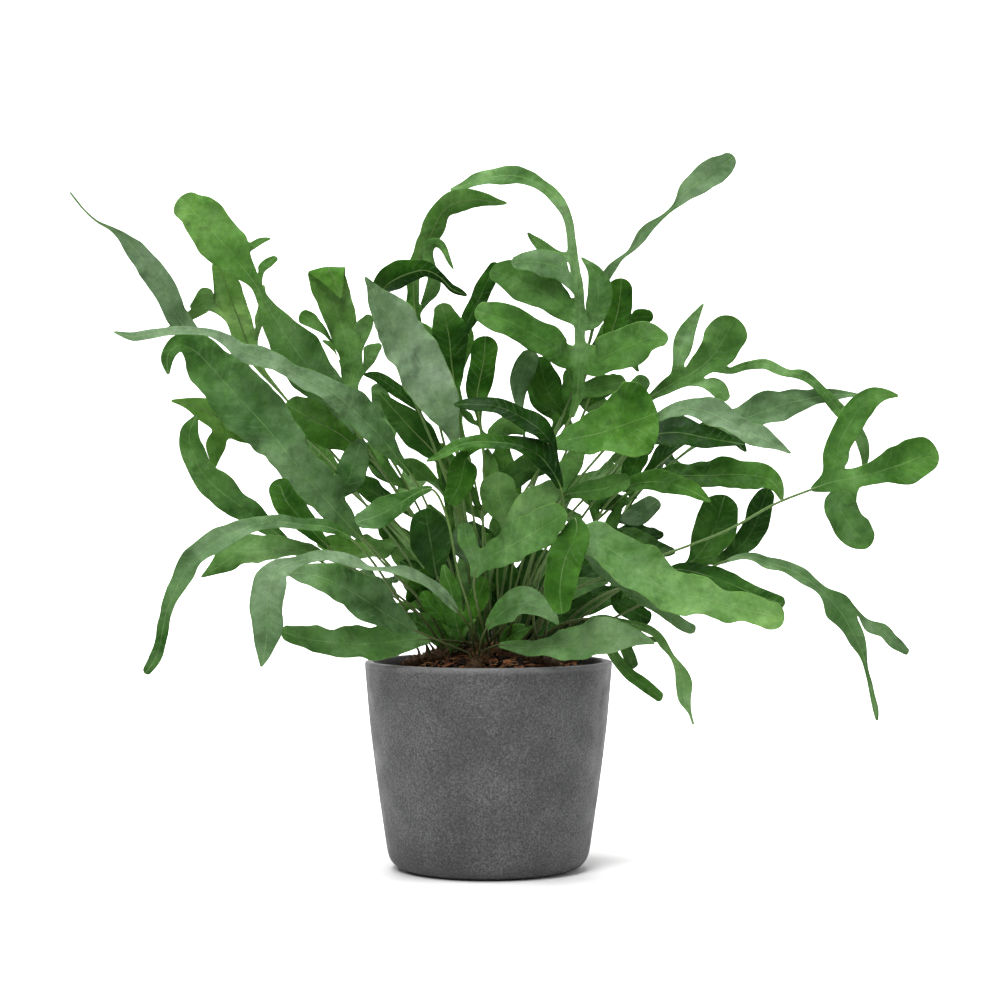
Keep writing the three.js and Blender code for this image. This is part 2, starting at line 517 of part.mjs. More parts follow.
    blade: [[80, 207, -62, 2.2], [95, 206, -69, 3], [110, 203, -75, 3.2], [123, 200, -79, 3.5],
      [134, 194, -82, 3],
      [140, 186, -84, 3.5], [146, 178, -86, 2], [151, 170, -87, 3.5], [155, 161, -88, 6],
      [156, 150, -89, 6.5],
      [157, 141, -89, 5], [161, 132, -90, 1.4], [164, 122, -90, 0.9]],
    face: [[0, -0.8, 0.8], [0.2, -1, 0.3]],
    lobes: [
      { at: 0.6, root: 3, path: [[89, 196, -80, 3], [95, 186, -90, 4], [102, 174, -98, 4.5],
        [111, 164, -102, 5],
        [123, 154, -104, 5], [136, 144, -106, 4.3]] },
      { at: 1.7, root: 3, path: [[106, 193, -84, 3.5], [109, 184, -91, 5.5], [113, 175, -94, 5.5],
        [115, 170, -96, 4.5]] },
    ],
  },
  // Front.
  {
    name: "frond_front_rim", foot: [4, 7],
    stem: [],
    blade: [[8, 186, -60, 2.5], [20, 184, -66, 5], [32, 183, -74, 7], [45, 184, -84, 8], [58, 185, -94, 11.5],
      [72, 187, -103, 14], [88, 190, -110, 14], [103, 192, -115, 11.5], [118, 191, -118, 7],
      [133, 187, -120, 0.8]],
    face: [[0, -0.8, 0.8], [0.1, -1, 0.5]],
    lobes: [],
  },
  {
    name: "frond_front_two_lobed", foot: [4, 1],
    stem: [[-8, 213, -86]],
    blade: [[-12, 239, -95, 3], [-7, 250, -100, 6.5], [5, 258, -108, 11], [18, 265, -117, 14.5],
      [32, 273, -126, 15.5],
      [46, 281, -134, 14.5], [56, 287, -140, 11]],
    face: [[0, -1, 0.5], [0.1, -1, 0.5]],
    lobes: [
      { at: 3, root: 8, path: [[24, 287, -112, 11], [34, 297, -108, 11.5], [45, 306, -104, 10.5],
        [51, 311, -101, 8.5]] },
      { at: 1, root: 5, path: [[-14, 262, -97, 6], [-18, 271, -94, 8], [-19, 278, -92, 7]] },
    ],
  },
  {
    name: "frond_front_round", foot: [4, 0],
    stem: [[2, 240, -55]],
    blade: [[13, 277, -76, 3], [14, 287, -80, 8], [11, 297, -85, 13.5], [8, 307, -90, 16],
      [8, 314, -94, 14.5]],
    face: [[0, -1, 0.4], [0, -1, 0.5]],
    lobes: [],
  },
  {
    name: "frond_front_drooping", foot: [4, 3],
    stem: [[28, 222, -88], [56, 272, -124]],
    blade: [[69, 288, -134, 3], [71, 279, -139, 9], [67, 267, -143, 13], [61, 254, -146, 14],
      [58, 240, -148, 14],
      [57, 226, -149, 11.5], [58, 217, -149, 8]],
    face: [[0.2, -0.8, 0.8], [0, -1, 0.2]],
    lobes: [],
  },
  {
    name: "frond_front_low", foot: [4, 9],
    stem: [],
    blade: [[-2, 199, -88, 2.5], [8, 209, -95, 7.5], [17, 216, -102, 11.5], [28, 219, -109, 12],
      [40, 216, -115, 8.5],
      [50, 210, -120, 5], [56, 202, -123, 0.9]],
    face: [[0, -1, 0.6], [0.2, -1, 0.4]],
    lobes: [],
  },
  {
    name: "frond_front_arches", foot: [5, 8],
    stem: [[52, 230, -72], [60, 280, -98]],
    blade: [[58, 311, -108, 3], [52, 323, -110, 7], [42, 336, -112, 9], [28, 344, -114, 8],
      [15, 347, -116, 6],
      [2, 348, -118, 5], [-12, 348, -120, 5.5], [-27, 344, -122, 5], [-38, 337, -124, 3],
      [-50, 333, -125, 0.9]],
    face: [[0.3, -0.8, 0.7], [0, -0.8, 0.8]],
    lobes: [
      { at: 1.6, root: 5, path: [[47, 350, -110, 7], [37, 360, -110, 9], [26, 368, -110, 8.5],
        [13, 374, -110, 6.5],
        [0, 377, -110, 6.5], [-15, 378, -110, 5.5], [-28, 378, -110, 0.9]] },
      { at: 6.2, root: 7, path: [[-18, 337, -115, 9], [-20, 327, -112, 11.5], [-23, 314, -110, 10.5],
        [-29, 303, -109, 7]] },
    ],
  },
  {
    name: "frond_front_dark", foot: [3, 3],
    stem: [[-25, 215, -42]],
    blade: [[-41, 240, -54, 3.5], [-44, 254, -57, 11], [-46, 267, -59, 16], [-48, 278, -61, 16.5],
      [-49, 284, -62, 14]],
    face: [[0, -1, 0.4], [-0.1, -1, 0.5]],
    lobes: [],
  },
  {
    name: "frond_front_grey_curl", foot: [4, 6],
    stem: [[-15, 212, -85], [-25, 246, -95], [-34, 290, -94]],
    blade: [[-45, 311, -94, 3], [-58, 307, -97, 4.5], [-69, 300, -100, 7.5], [-82, 292, -104, 11.5],
      [-94, 287, -107, 10],
      [-101, 285, -109, 7]],
    face: [[-0.2, -0.7, 0.9], [-0.3, -1, 0.4]],
    lobes: [],
  },
  {
    name: "frond_front_young", foot: [4, 4],
    stem: [],
    blade: [[-22, 192, -62, 2], [-26, 204, -66, 6], [-28, 217, -69, 8], [-30, 230, -71, 8],
      [-34, 241, -73, 5],
      [-36, 250, -74, 1.5]],
    face: [[0, -1, 0.3], [-0.1, -1, 0.5]],
    lobes: [
      { at: 1, root: 4, path: [[-38, 209, -65, 5], [-46, 216, -65, 6], [-51, 225, -65, 5]] },
      { at: 1, root: 4, path: [[-15, 211, -70, 6], [-9, 220, -74, 8], [-6, 230, -77, 7], [-4, 236, -79, 5]] },
    ],
  },
  // Back, out of sight in the front view.
  {
    name: "frond_left_inner", foot: [2, 3],
    stem: [[-44, 262, 14]],
    blade: [[-90, 330, 22, 3], [-104, 343, 21, 8], [-118, 354, 20, 14], [-134, 363, 19, 17],
      [-148, 370, 18, 14.5],
      [-155, 374, 17, 11]],
    face: [[-0.2, 0.8, 0.7], [-0.3, 1, 0.4]],
    lobes: [
      { at: -1.5, root: 4, path: [[-42, 244, 13, 4], [-49, 238, 12, 8], [-57, 231, 11, 8],
        [-63, 223, 10, 4]] },
      { at: -0.6, root: 5, path: [[-80, 303, 24, 6], [-90, 306, 28, 9], [-99, 312, 30, 9],
        [-106, 321, 31, 4]] },
    ],
  },
  {
    name: "frond_back_tall", foot: [1, 3],
    stem: [[0, 250, 34], [-14, 330, 62]],
    blade: [[-24, 362, 76, 4], [-32, 388, 92, 12], [-40, 410, 110, 16], [-48, 428, 132, 15],
      [-55, 438, 156, 12],
      [-60, 440, 180, 7], [-64, 434, 202, 0.9]],
    face: [[0.1, 0.9, 0.5], [0, 0.5, 0.9]],
    lobes: [
      { at: -1.5, root: 5, path: [[-17, 296, 60, 6], [-25, 308, 66, 11], [-31, 321, 72, 12],
        [-36, 334, 78, 9], [-39, 344, 82, 4]] },
      { at: -1.75, root: 4, path: [[4, 272, 48, 5], [8, 282, 52, 8], [9, 292, 55, 5]] },
      { at: -2.3, root: 4, path: [[7, 230, 42, 4], [10, 241, 47, 8], [12, 252, 50, 5]] },
      { at: 1.4, root: 7, toward: -1, reach: 40, half: 9 },
      { at: 2.4, root: 7, toward: 1, reach: 34, half: 8.5 },
    ],
  },
  {
    name: "frond_back_tall_right", foot: [1, 5],
    stem: [[15, 250, 38], [40, 330, 66]],
    blade: [[54, 360, 80, 4], [66, 384, 96, 11], [78, 403, 116, 15], [90, 416, 140, 15], [102, 420, 165, 12],
      [112, 415, 190, 7], [120, 404, 208, 0.9]],
    face: [[-0.1, 0.9, 0.5], [0.2, 0.5, 0.9]],
    lobes: [
      { at: -1.4, root: 5, path: [[22, 291, 54, 5], [16, 304, 58, 10], [13, 318, 62, 12],
        [12, 332, 65, 11], [12, 343, 67, 6]] },
      { at: 0.3, root: 5, path: [[45, 376, 84, 7], [38, 388, 87, 8], [34, 398, 90, 4]] },
      { at: 1.5, root: 7, toward: -1, reach: 36, half: 8.5 },
      { at: 2.4, root: 7, toward: 1, reach: 38, half: 9 },
    ],
  },
  {
    name: "frond_back_left", foot: [2, 7],
    stem: [[-60, 245, 54], [-100, 300, 86]],
    blade: [[-125, 330, 105, 5], [-145, 350, 120, 12], [-165, 364, 138, 14], [-185, 373, 158, 13],
      [-200, 374, 178, 9],
      [-210, 367, 195, 0.9]],
    face: [[-0.4, 0.7, 0.6], [-0.3, 0.6, 0.8]],
    lobes: [
      { at: -1.6, root: 5, path: [[-85, 264, 76, 9], [-94, 262, 82, 13], [-104, 259, 88, 12],
        [-112, 254, 92, 5]] },
      { at: -1.3, root: 5, path: [[-80, 276, 90, 8], [-71, 268, 96, 12], [-62, 257, 100, 13],
        [-54, 246, 102, 8]] },
      { at: 1.5, root: 7, toward: 1, reach: 38, half: 8 },
      { at: 2.3, root: 7, toward: -1, reach: 32, half: 8 },
    ],
  },
  {
    name: "frond_back_right", foot: [0, 9],
    stem: [[78, 240, 36], [108, 290, 74]],
    blade: [[125, 318, 95, 5], [145, 338, 115, 12], [165, 351, 138, 14], [182, 355, 160, 12],
      [196, 350, 180, 7],
      [206, 340, 195, 0.9]],
    face: [[0.4, 0.7, 0.6], [0.3, 0.6, 0.8]],
    lobes: [
      { at: -0.5, root: 5, path: [[113, 314, 92, 7], [116, 326, 98, 10], [122, 338, 102, 10],
        [129, 346, 105, 5]] },
      { at: -1.3, root: 5, path: [[110, 276, 70, 7], [120, 273, 76, 9], [130, 272, 80, 8],
        [138, 273, 83, 3]] },
      { at: -2.4, root: 4, path: [[82, 228, 44, 6], [92, 226, 50, 10], [102, 223, 56, 9],
        [110, 219, 60, 4]] },
      { at: 1.5, root: 7, toward: -1, reach: 38, half: 8 },
      { at: 2.3, root: 7, toward: 1, reach: 32, half: 8 },
    ],
  },
  {
    name: "frond_back_low_left", foot: [2, 9],
    stem: [[-52, 205, 72]],
    blade: [[-75, 224, 96, 4], [-92, 236, 125, 11], [-110, 243, 155, 12], [-125, 245, 185, 9],
      [-136, 241, 208, 0.9]],
    face: [[-0.4, 0.5, 0.8], [-0.3, 0.7, 0.6]],
    lobes: [
      { at: 1.1, root: 7, toward: 1, reach: 30, half: 8 },
      { at: 1.9, root: 7, toward: -1, reach: 32, half: 8 },
    ],
  },
  {
    name: "frond_back_low_right", foot: [0, 5],
    stem: [[58, 205, 44]],
    blade: [[85, 216, 90, 4], [105, 228, 120, 11], [125, 236, 148, 13], [145, 240, 176, 11],
      [160, 238, 200, 6],
      [170, 232, 215, 0.9]],
    face: [[0.4, 0.5, 0.8], [0.3, 0.7, 0.6]],
    lobes: [
      { at: 1.1, root: 7, toward: -1, reach: 32, half: 8 },
      { at: 1.9, root: 7, toward: 1, reach: 32, half: 8 },
    ],
  },
  {
    name: "frond_back_low", foot: [1, 9],
    stem: [],
    blade: [[0, 206, 92, 3], [4, 222, 120, 10], [8, 232, 150, 15], [10, 234, 182, 14], [11, 226, 210, 9],
      [11, 212, 230, 0.9]],
    face: [[0, 0.6, 0.8], [0, 0.9, 0.3]],
    lobes: [
      { at: 0.45, root: 5, path: [[18, 213, 106, 7], [31, 212, 110, 12], [45, 209, 112, 11],
        [57, 213, 117, 5]] },
      { at: 0.75, root: 5, path: [[-14, 216, 112, 7], [-28, 214, 114, 11], [-42, 209, 114, 10],
        [-52, 213, 119, 5]] },
      { at: 1.2, root: 7, toward: -1, reach: 32, half: 8 },
      { at: 2, root: 7, toward: 1, reach: 30, half: 8 },
    ],
  },
  {
    name: "frond_back_middle", foot: [1, 7],
    stem: [[-8, 240, 72]],
    blade: [[-18, 272, 94, 4], [-30, 297, 118, 12], [-42, 312, 148, 15], [-54, 318, 178, 13],
      [-64, 312, 204, 8],
      [-72, 300, 222, 0.9]],
    face: [[-0.1, 0.8, 0.6], [-0.2, 0.7, 0.7]],
    lobes: [
      { at: 1.4, root: 7, toward: -1, reach: 34, half: 8 },
      { at: 2.3, root: 7, toward: 1, reach: 30, half: 8 },
    ],
  },
  {
    name: "frond_back_middle_right", foot: [1, 6],
    stem: [[22, 240, 66]],
    blade: [[44, 274, 90, 4], [62, 299, 114, 12], [80, 315, 143, 15], [97, 320, 172, 13], [110, 314, 196, 8],
      [118, 302, 214, 0.9]],
    face: [[0.1, 0.8, 0.6], [0.2, 0.7, 0.7]],
    lobes: [
      { at: -1.2, root: 4, path: [[32, 226, 58, 6], [42, 231, 56, 10], [48, 243, 54, 9]] },
      { at: 1.3, root: 7, toward: -1, reach: 34, half: 8 },
      { at: 2.2, root: 7, toward: 1, reach: 34, half: 8 },
    ],
  },
];

// A point of the front view placed in the round: it spreads from the eye with its depth.
function placed([side, up, depth, half = STIPE_HALF]) {
  const grow = 1 + depth / EYE[1];
  const x = EYE[0] + (side - EYE[0]) * grow;
  const z = EYE[2] + (up - EYE[2]) * grow - FLOOR_IN_VIEW;
  return [x, depth, z, half * grow];
}

// A smooth run through points, measured by the distance along it.
function course(points) {
  const at = [0];
  for (let i = 1; i < points.length; i++) {
    const [a, b] = [points[i - 1], points[i]];
    at.push(at[i - 1] + Math.hypot(b[0] - a[0], b[1] - a[1], b[2] - a[2]));
  }
  const rate = (i, k) => (points[i + 1][k] - points[i][k]) / (at[i + 1] - at[i]);
  const last = points.length - 1;
  const slope = points.map((p, i) => p.map((v, k) => {
    if (i === 0) return rate(0, k);
    if (i === last) return rate(last - 1, k);
    return (rate(i - 1, k) + rate(i, k)) / 2;
  }));
  function find(s) {
    let i = 0;
    while (i < last - 1 && s > at[i + 1]) i++;
    const h = at[i + 1] - at[i];
    const u = Math.min(Math.max((s - at[i]) / h, 0), 1);
    const [a, b] = [points[i], points[i + 1]];
    return a.map((v, k) => (2 * u ** 3 - 3 * u ** 2 + 1) * v + (u ** 3 - 2 * u ** 2 + u) * h * slope[i][k]
      + (3 * u ** 2 - 2 * u ** 3) * b[k] + (u ** 3 - u ** 2) * h * slope[i + 1][k]);
  }
  function heading(s) {
    const a = find(Math.max(s - 0.8, 0));
    const b = find(Math.min(s + 0.8, at[last]));
    return new THREE.Vector3(b[0] - a[0], b[1] - a[1], b[2] - a[2]).normalize();
  }
  return { at, length: at[last], find, heading };
}

// The side a blade's upper face looks to, at a share of its length.
function faceAt(faces, share) {
  const place = Math.min(Math.max(share, 0), 1) * (faces.length - 1);
  const i = Math.min(Math.floor(place), faces.length - 2);
  const a = new THREE.Vector3(...faces[i]).normalize();
  const b = new THREE.Vector3(...faces[i + 1]).normalize();
  return a.lerp(b, place - i);
}

// Distances along a run, no further apart than the spacing, with the wanted ones kept exactly.
function distances(from, to, spacing, wanted) {
  const kept = wanted.filter((s) => s > from && s < to);
  const steps = Math.max(1, Math.ceil((to - from) / spacing));
  const marks = [from, ...kept, to].sort((a, b) => a - b);
  const out = [];
  for (let i = 0; i < marks.length - 1; i++) {
    const n = Math.max(1, Math.round((marks[i + 1] - marks[i]) / ((to - from) / steps)));
    for (let k = 0; k < n; k++) out.push(marks[i] + ((marks[i + 1] - marks[i]) * k) / n);
  }
  out.push(to);
  return out;
}

// The distances left once every one that lies on a nearly straight stretch is dropped.
function thinned(marks, run, kept) {
  const out = [marks[0]];
  for (let i = 1; i < marks.length - 1; i++) {
    const [a, s, b] = [out.at(-1), marks[i], marks[i + 1]];
    const [pa, ps, pb] = [run.find(a), run.find(s), run.find(b)];
    const off = Math.hypot(...ps.map((v, k) => v - pa[k] - ((pb[k] - pa[k]) * (s - a)) / (b - a)));
    if (kept(s) || off > STRAIGHT || b - a > LONGEST_STEP) out.push(s);
  }
  out.push(marks.at(-1));
  return out;
}

// One closed skin: rows of top and bottom points, joined row to row.
class Skin {
  constructor() {
    this.points = [];
    this.faces = [];
  }

  point(v) {
    this.points.push(v.x, v.y, v.z);
    return this.points.length / 3 - 1;
  }

  // Points round a place of the run: left, middle and right, on the upper and the lower face.
  // A stipe and a lobe have no middle pair.
  row(spot, heading, face, half, blade, lift, plain = false, taken = () => false) {
    const side = new THREE.Vector3().crossVectors(heading, face).normalize();
    const out = new THREE.Vector3().crossVectors(side, heading).normalize();
    const shown = Math.hypot(side.x, side.z);
    const wide = blade > 0 ? Math.min(half / Math.max(shown, 0.4), half + 12) : half;
    const edge = THREE.MathUtils.lerp(plain ? STIPE_HALF : 0.7, EDGE_HALF, blade);
    const ribTop = THREE.MathUtils.lerp(STIPE_HALF, 0.42, blade);
    const ribBottom = THREE.MathUtils.lerp(STIPE_HALF, 0.75, blade);
    const raised = blade * wide * 0.12;
    const make = (across, along) =>
      this.point(spot.clone().addScaledVector(side, across).addScaledVector(out, along));
    const [left, right] = [-wide, wide].map((across) => {
      while (Math.abs(across) > 1 && taken(spot.clone().addScaledVector(side, across))) across *= 0.88;
      return across;
    });
    const top = [make(left, edge + raised + lift[0]), make(right, edge + raised + lift[1])];
    const bottom = [make(left, raised + lift[0] - edge), make(right, raised + lift[1] - edge)];
    if (!plain) {
      top.splice(1, 0, make(0, ribTop));
      bottom.splice(1, 0, make(0, -ribBottom));
    }
    return { top, bottom, side, out, heading, spot, wide };
  }

  // Both faces between two rows, split alike, and the walls along the open margins.
  join(a, b, leftWall = true, rightWall = true) {
    const [n, m] = [a.top.length, b.top.length];
    let [i, j] = [0, 0];
    while (i < n - 1 || j < m - 1) {
      if (j === m - 1 || (i < n - 1 && (i + 1) / (n - 1) <= (j + 1) / (m - 1))) {
        this.faces.push(a.top[i], a.top[i + 1], b.top[j], a.bottom[i + 1], a.bottom[i], b.bottom[j]);
        i++;
      } else {
        this.faces.push(a.top[i], b.top[j + 1], b.top[j], a.bottom[i], b.bottom[j], b.bottom[j + 1]);
        j++;
      }
    }
    if (leftWall) this.wall(b, a, 0, 0);
    if (rightWall) this.wall(a, b, n - 1, m - 1);
  }

  wall(a, b, i, j) {
    this.faces.push(a.bottom[i], b.bottom[j], b.top[j], a.bottom[i], b.top[j], a.top[i]);
  }

  cap(row, atEnd) {
    const { top, bottom } = row;
    const fan = [];
    for (let i = 1; i < top.length; i++) {
      fan.push(bottom[i - 1], bottom[i], top[i], bottom[i - 1], top[i], top[i - 1]);
    }
    this.faces.push(...(atEnd ? fan.reverse() : fan));
  }

  mesh(name, material) {
    const geometry = new THREE.BufferGeometry();
    geometry.setAttribute("position", new THREE.Float32BufferAttribute(this.points, 3));
    geometry.setIndex(this.faces);
    const made = new THREE.Mesh(geometry, material);
    made.name = name;
    return made;
  }
}

// The rounded end of a blade: rows past the last point, on a half ellipse.
function roundEnd(skin, spot, heading, face, half, from, plain = false) {
  const reach = Math.min(half * 0.8, 12);
  let before = from;
  for (const part of half > 7 ? [0.55, 0.86, 1] : [0.72, 1]) {
    const place = spot.clone().addScaledVector(heading, reach * part);
    const wide = Math.max(half * Math.sqrt(1 - part * part), 1);
    const row = skin.row(place, heading, face, wide, 1, [0, 0], plain);
    skin.join(before, row);
    before = row;
  }
  return before;
}

// Margins rise and fall a little along a blade, each side in its own beat.
function waves(s, half, seed) {
  const size = Math.min(half * 0.09, 1.1);
  return [size * Math.sin(s / 7 + seed), size * Math.sin(s / 6 + seed * 2 + 1)];
}

// A lobe from its root on one margin of the blade to its tip, kept off the blade beside it.
function growLobe(skin, points, root, face, seed, parent) {
  const taken = (v) => parent.some((row) => {
    const away = v.clone().sub(row.spot);
    return Math.abs(away.dot(row.side)) < row.wide + 2 && Math.abs(away.dot(row.heading)) < 13
      && Math.abs(away.dot(row.out)) < 8;
  });
  const run = course([root.middle, ...points]);
  let before = root;
  for (const s of thinned(distances(0, run.length, BLADE_SPACING, run.at), run, () => false)) {
    if (s === 0) continue;
    const [x, y, z, half] = run.find(s);
    const spot = new THREE.Vector3(x, y, z);
    if (taken(spot) && s < run.length) continue;
    const row = skin.row(spot, run.heading(s), face, half, 1, waves(s, half, seed), true, taken);
    skin.join(before, row);
    before = row;
  }
  const [x, y, z, half] = points.at(-1);
  if (half > 2) {
    before = roundEnd(skin, new THREE.Vector3(x, y, z), run.heading(run.length), face, half, before, true);
  }
  skin.cap(before, true);
}

// The points of a lobe that spreads at a slant from one side of a blade and droops a little.
function slanted({ side, out, heading, spot, wide }, { toward, reach, half }) {
  return [[0.12, 0.75], [0.4, 1], [0.75, 0.8], [1, 0.1]].map(([share, width]) => {
    const p = spot.clone().addScaledVector(side, toward * (wide + reach * share * 0.8))
      .addScaledVector(heading, reach * share * 0.6).addScaledVector(out, -reach * share * share * 0.2);
    return [p.x, p.y, p.z, half * width];
  });
}

// Where a foot stands on its arm, and how high the arm's middle line is there.
function footOf([arm, place]) {
  const angle = THREE.MathUtils.degToRad(ARM_ANGLES[arm]);
  const out = FIRST_PLACE + PLACE_STEP * place;
  const sway = place % 2 ? PLACE_SWAY : -PLACE_SWAY;
  const x = out * Math.cos(angle) - sway * Math.sin(angle);
  const y = out * Math.sin(angle) + sway * Math.cos(angle);
  return [x, y, soilHeight(out) + ARM_RISE];
}

function soilHeight(radius) {
  return SOIL_EDGE + SOIL_MOUND * (1 - (radius / SOIL_RADIUS) ** 2);
}

// A frond from its foot in the rhizome to its tip, lobes included, as one solid.
function frond({ name, foot, stem, blade, face, lobes }, seed, material) {
  const skin = new Skin();
  const [footX, footY, armZ] = footOf(foot);
  const start = armZ + 9;
  const points = [[footX, footY, start, STIPE_HALF], ...stem.map(placed), ...blade.map(placed)];
  const run = course(points);
  const bladeFrom = 1 + stem.length;
  const s0 = run.at[bladeFrom];
  const toS = (index) => {
    const i = Math.min(Math.floor(index), blade.length - 2);
    return THREE.MathUtils.lerp(run.at[bladeFrom + i], run.at[bladeFrom + i + 1], index - i);
  };
  const roots = lobes.map((lobe) => {
    const mid = toS(lobe.at);
    return { lobe, mid, from: mid - lobe.root, to: mid + lobe.root };
  });
  const upright = new THREE.Vector3(0, 0, 1);
  const rootMarks = roots.flatMap((r) => [r.from, r.mid, r.to]);
  const stipe = distances(0, s0, STIPE_SPACING, [5, ...rootMarks]);
  const along = distances(s0, run.length, BLADE_SPACING, [...run.at.slice(bladeFrom), ...rootMarks]);
  const fixed = (v) => roots.some((r) => [r.from, r.mid, r.to].some((w) => Math.abs(v - w) < 1e-6));
  const spread = [...stipe.slice(0, -1), ...along].filter((s, i, all) => {
    if (i === 0 || fixed(s)) return true;
    if (all.some((v, k) => k !== i && fixed(v) && Math.abs(v - s) < 2.5)) return false;
    return i === all.length - 1 || s - all[i - 1] > 1;
  });
  const marks = thinned(spread, run, (s) => fixed(s) || s === s0);
  // Below the lowest lobe the side is carried down the stipe without a twist.
  const lowest = Math.min(s0, ...roots.map((r) => r.from));
  const looks = new Map();
  let carried = faceAt(face, 0);
  for (const s of [...marks].reverse()) {
    if (s > lowest - 1e-6) {
      looks.set(s, faceAt(face, (s - s0) / (run.length - s0)));
    } else {
      const heading = s === 0 ? upright : run.heading(s);
      carried = carried.clone().addScaledVector(heading, -carried.dot(heading)).normalize();
      looks.set(s, carried);
    }
    if (s === lowest) {
      const heading = run.heading(s);
      carried = looks.get(s).clone().addScaledVector(heading, -looks.get(s).dot(heading)).normalize();
    }
  }
  const below = new THREE.Vector3(footX, footY, armZ - 1);
  let before = skin.row(below, upright, looks.get(marks[0]), STIPE_HALF, 0, [0, 0], true);
  skin.cap(before, false);
  const rows = [];
  for (const s of marks) {
    const [x, y, z, half] = run.find(s);
    const blending = THREE.MathUtils.clamp((s - s0) / 12, 0, 1);
    const heading = s === 0 ? upright : run.heading(s);
    const lift = blending > 0 ? waves(s, half, seed) : [0, 0];
    const spot = new THREE.Vector3(x, y, z);
    const row = skin.row(spot, heading, looks.get(s), half, blending, lift, s < s0 - 1e-6);
    rows.push({ s, row });
  }
  for (const root of roots) {
    const { row, s } = rows.find((r) => Math.abs(r.s - root.mid) < 1e-6);
    const points = root.lobe.path ? root.lobe.path.map(placed) : slanted(row, root.lobe);
    root.right = new THREE.Vector3(...points[0]).sub(row.spot).dot(row.side) > 0;
    const inside = rows.filter((r) => r.s > root.from - 1e-6 && r.s < root.to + 1e-6).map((r) => r.row);
    const end = root.right ? -1 : 0;
    const margin = root.right ? inside.reverse() : inside;
    const middle = row.spot.clone().addScaledVector(row.side, root.right ? row.wide : -row.wide);
    const at = { top: margin.map((r) => r.top.at(end)), bottom: margin.map((r) => r.bottom.at(end)) };
    growLobe(skin, points, { ...at, middle: [middle.x, middle.y, middle.z, root.lobe.root] },
      looks.get(s), seed + root.mid, rows.map((r) => r.row));
  }
  const rooted = (a, b, right) =>
    roots.some((r) => r.right === right && a > r.from - 1e-6 && b < r.to + 1e-6);
  skin.join(before, rows[0].row);
  for (let i = 1; i < rows.length; i++) {
    const [a, b] = [rows[i - 1].s, rows[i].s];
    skin.join(rows[i - 1].row, rows[i].row, !rooted(a, b, false), !rooted(a, b, true));
  }
  before = rows.at(-1).row;
  const [x, y, z, half] = points.at(-1);
  if (half > 2) {
    const last = new THREE.Vector3(x, y, z);
    before = roundEnd(skin, last, run.heading(run.length), faceAt(face, 1), half, before);
  }
  skin.cap(before, true);
  return skin.mesh(name, material);
}

// A closed three.js shape as a solid that can be joined and cut.
function solidFrom(geometry) {
  const bare = new THREE.BufferGeometry();
  const loose = geometry.index ? geometry.toNonIndexed() : geometry;
  bare.setAttribute("position", loose.getAttribute("position"));
  const merged = mergeVertices(bare, 1e-4);
  return new Manifold(new wasm.Mesh({
    numProp: 3,
    vertProperties: merged.attributes.position.array,
    triVerts: new Uint32Array(merged.index.array),
  }));
}

function meshFrom(solid, name, material) {
  const { numProp, vertProperties, triVerts } = solid.getMesh();
  const geometry = new THREE.BufferGeometry();
  const count = vertProperties.length / numProp;
  const points = new Float32Array(count * 3);
  for (let i = 0; i < count; i++) points.set(vertProperties.subarray(i * numProp, i * numProp + 3), i * 3);
  geometry.setAttribute("position", new THREE.BufferAttribute(points, 3));
  geometry.setIndex(new THREE.BufferAttribute(triVerts, 1));
  const mesh = new THREE.Mesh(geometry, material);
  mesh.name = name;
  return mesh;
}

// A turned solid about the upright axis from radius and height pairs, written from the axis round to it.
function turned(pairs, segments) {
  const geometry = new THREE.LatheGeometry(pairs.map(([r, z]) => new THREE.Vector2(r, z)), segments);
  geometry.rotateX(Math.PI / 2);
  return geometry;
}

function innerRadius(z) {
  const pairs = [...POT_SIDE, [RIM_RADIUS, POT_HEIGHT]];
  let i = 0;
  while (i < pairs.length - 2 && z > pairs[i + 1][1]) i++;
  const [[r0, z0], [r1, z1]] = [pairs[i], pairs[i + 1]];
  return r0 + ((r1 - r0) * (z - z0)) / (z1 - z0) - WALL;
}

function pot(material) {
  const lipMiddle = POT_HEIGHT - LIP;
  const outside = [[0, 0], ...POT_SIDE, [RIM_RADIUS - 0.3, lipMiddle], [RIM_RADIUS - 1, POT_HEIGHT - 0.8],
    [RIM_RADIUS - 2.6, POT_HEIGHT]];
  const inside = [[RIM_RADIUS - WALL + 1.6, POT_HEIGHT], [RIM_RADIUS - WALL, POT_HEIGHT - 1.2],
    [innerRadius(96), 96], [innerRadius(25), 25], [innerRadius(17) - 4, 11],
    [innerRadius(10) - 8, FLOOR_THICKNESS], [0, FLOOR_THICKNESS]];
  const mesh = new THREE.Mesh(turned([...outside, ...inside], 32), material);
  mesh.name = "pot";
  return mesh;
}

// The arms as rods, grown by a margin: the soil is cut by the same arms, a little larger.
function rhizomeSolid(margin) {
  let whole = solidFrom(new THREE.IcosahedronGeometry(11 + margin, 1).scale(1, 1, 0.72)
    .translate(0, 0, soilHeight(0) + ARM_RISE));
  for (const degrees of ARM_ANGLES) {
    const angle = THREE.MathUtils.degToRad(degrees);
    const points = [];
    for (let k = 0; k <= 3; k++) {
      const out = (ARM_LENGTH * k) / 3;
      const bend = Math.sin(k * 1.7 + degrees) * 0.6;
      const [x, y] = [Math.cos(angle), Math.sin(angle)];
      const radius = (ARM_RADIUS - 0.2 * k) * (k % 2 ? 1 : 0.97) + margin;
      points.push([out * x - bend * y, out * y + bend * x, soilHeight(out) + ARM_RISE, radius]);
    }
    points.push([(ARM_LENGTH + 5 + margin) * Math.cos(angle), (ARM_LENGTH + 5 + margin) * Math.sin(angle),
      soilHeight(ARM_LENGTH + 5) + ARM_RISE, 3 + margin]);
    whole = whole.add(rod(points, 6));
  }
  return whole;
}

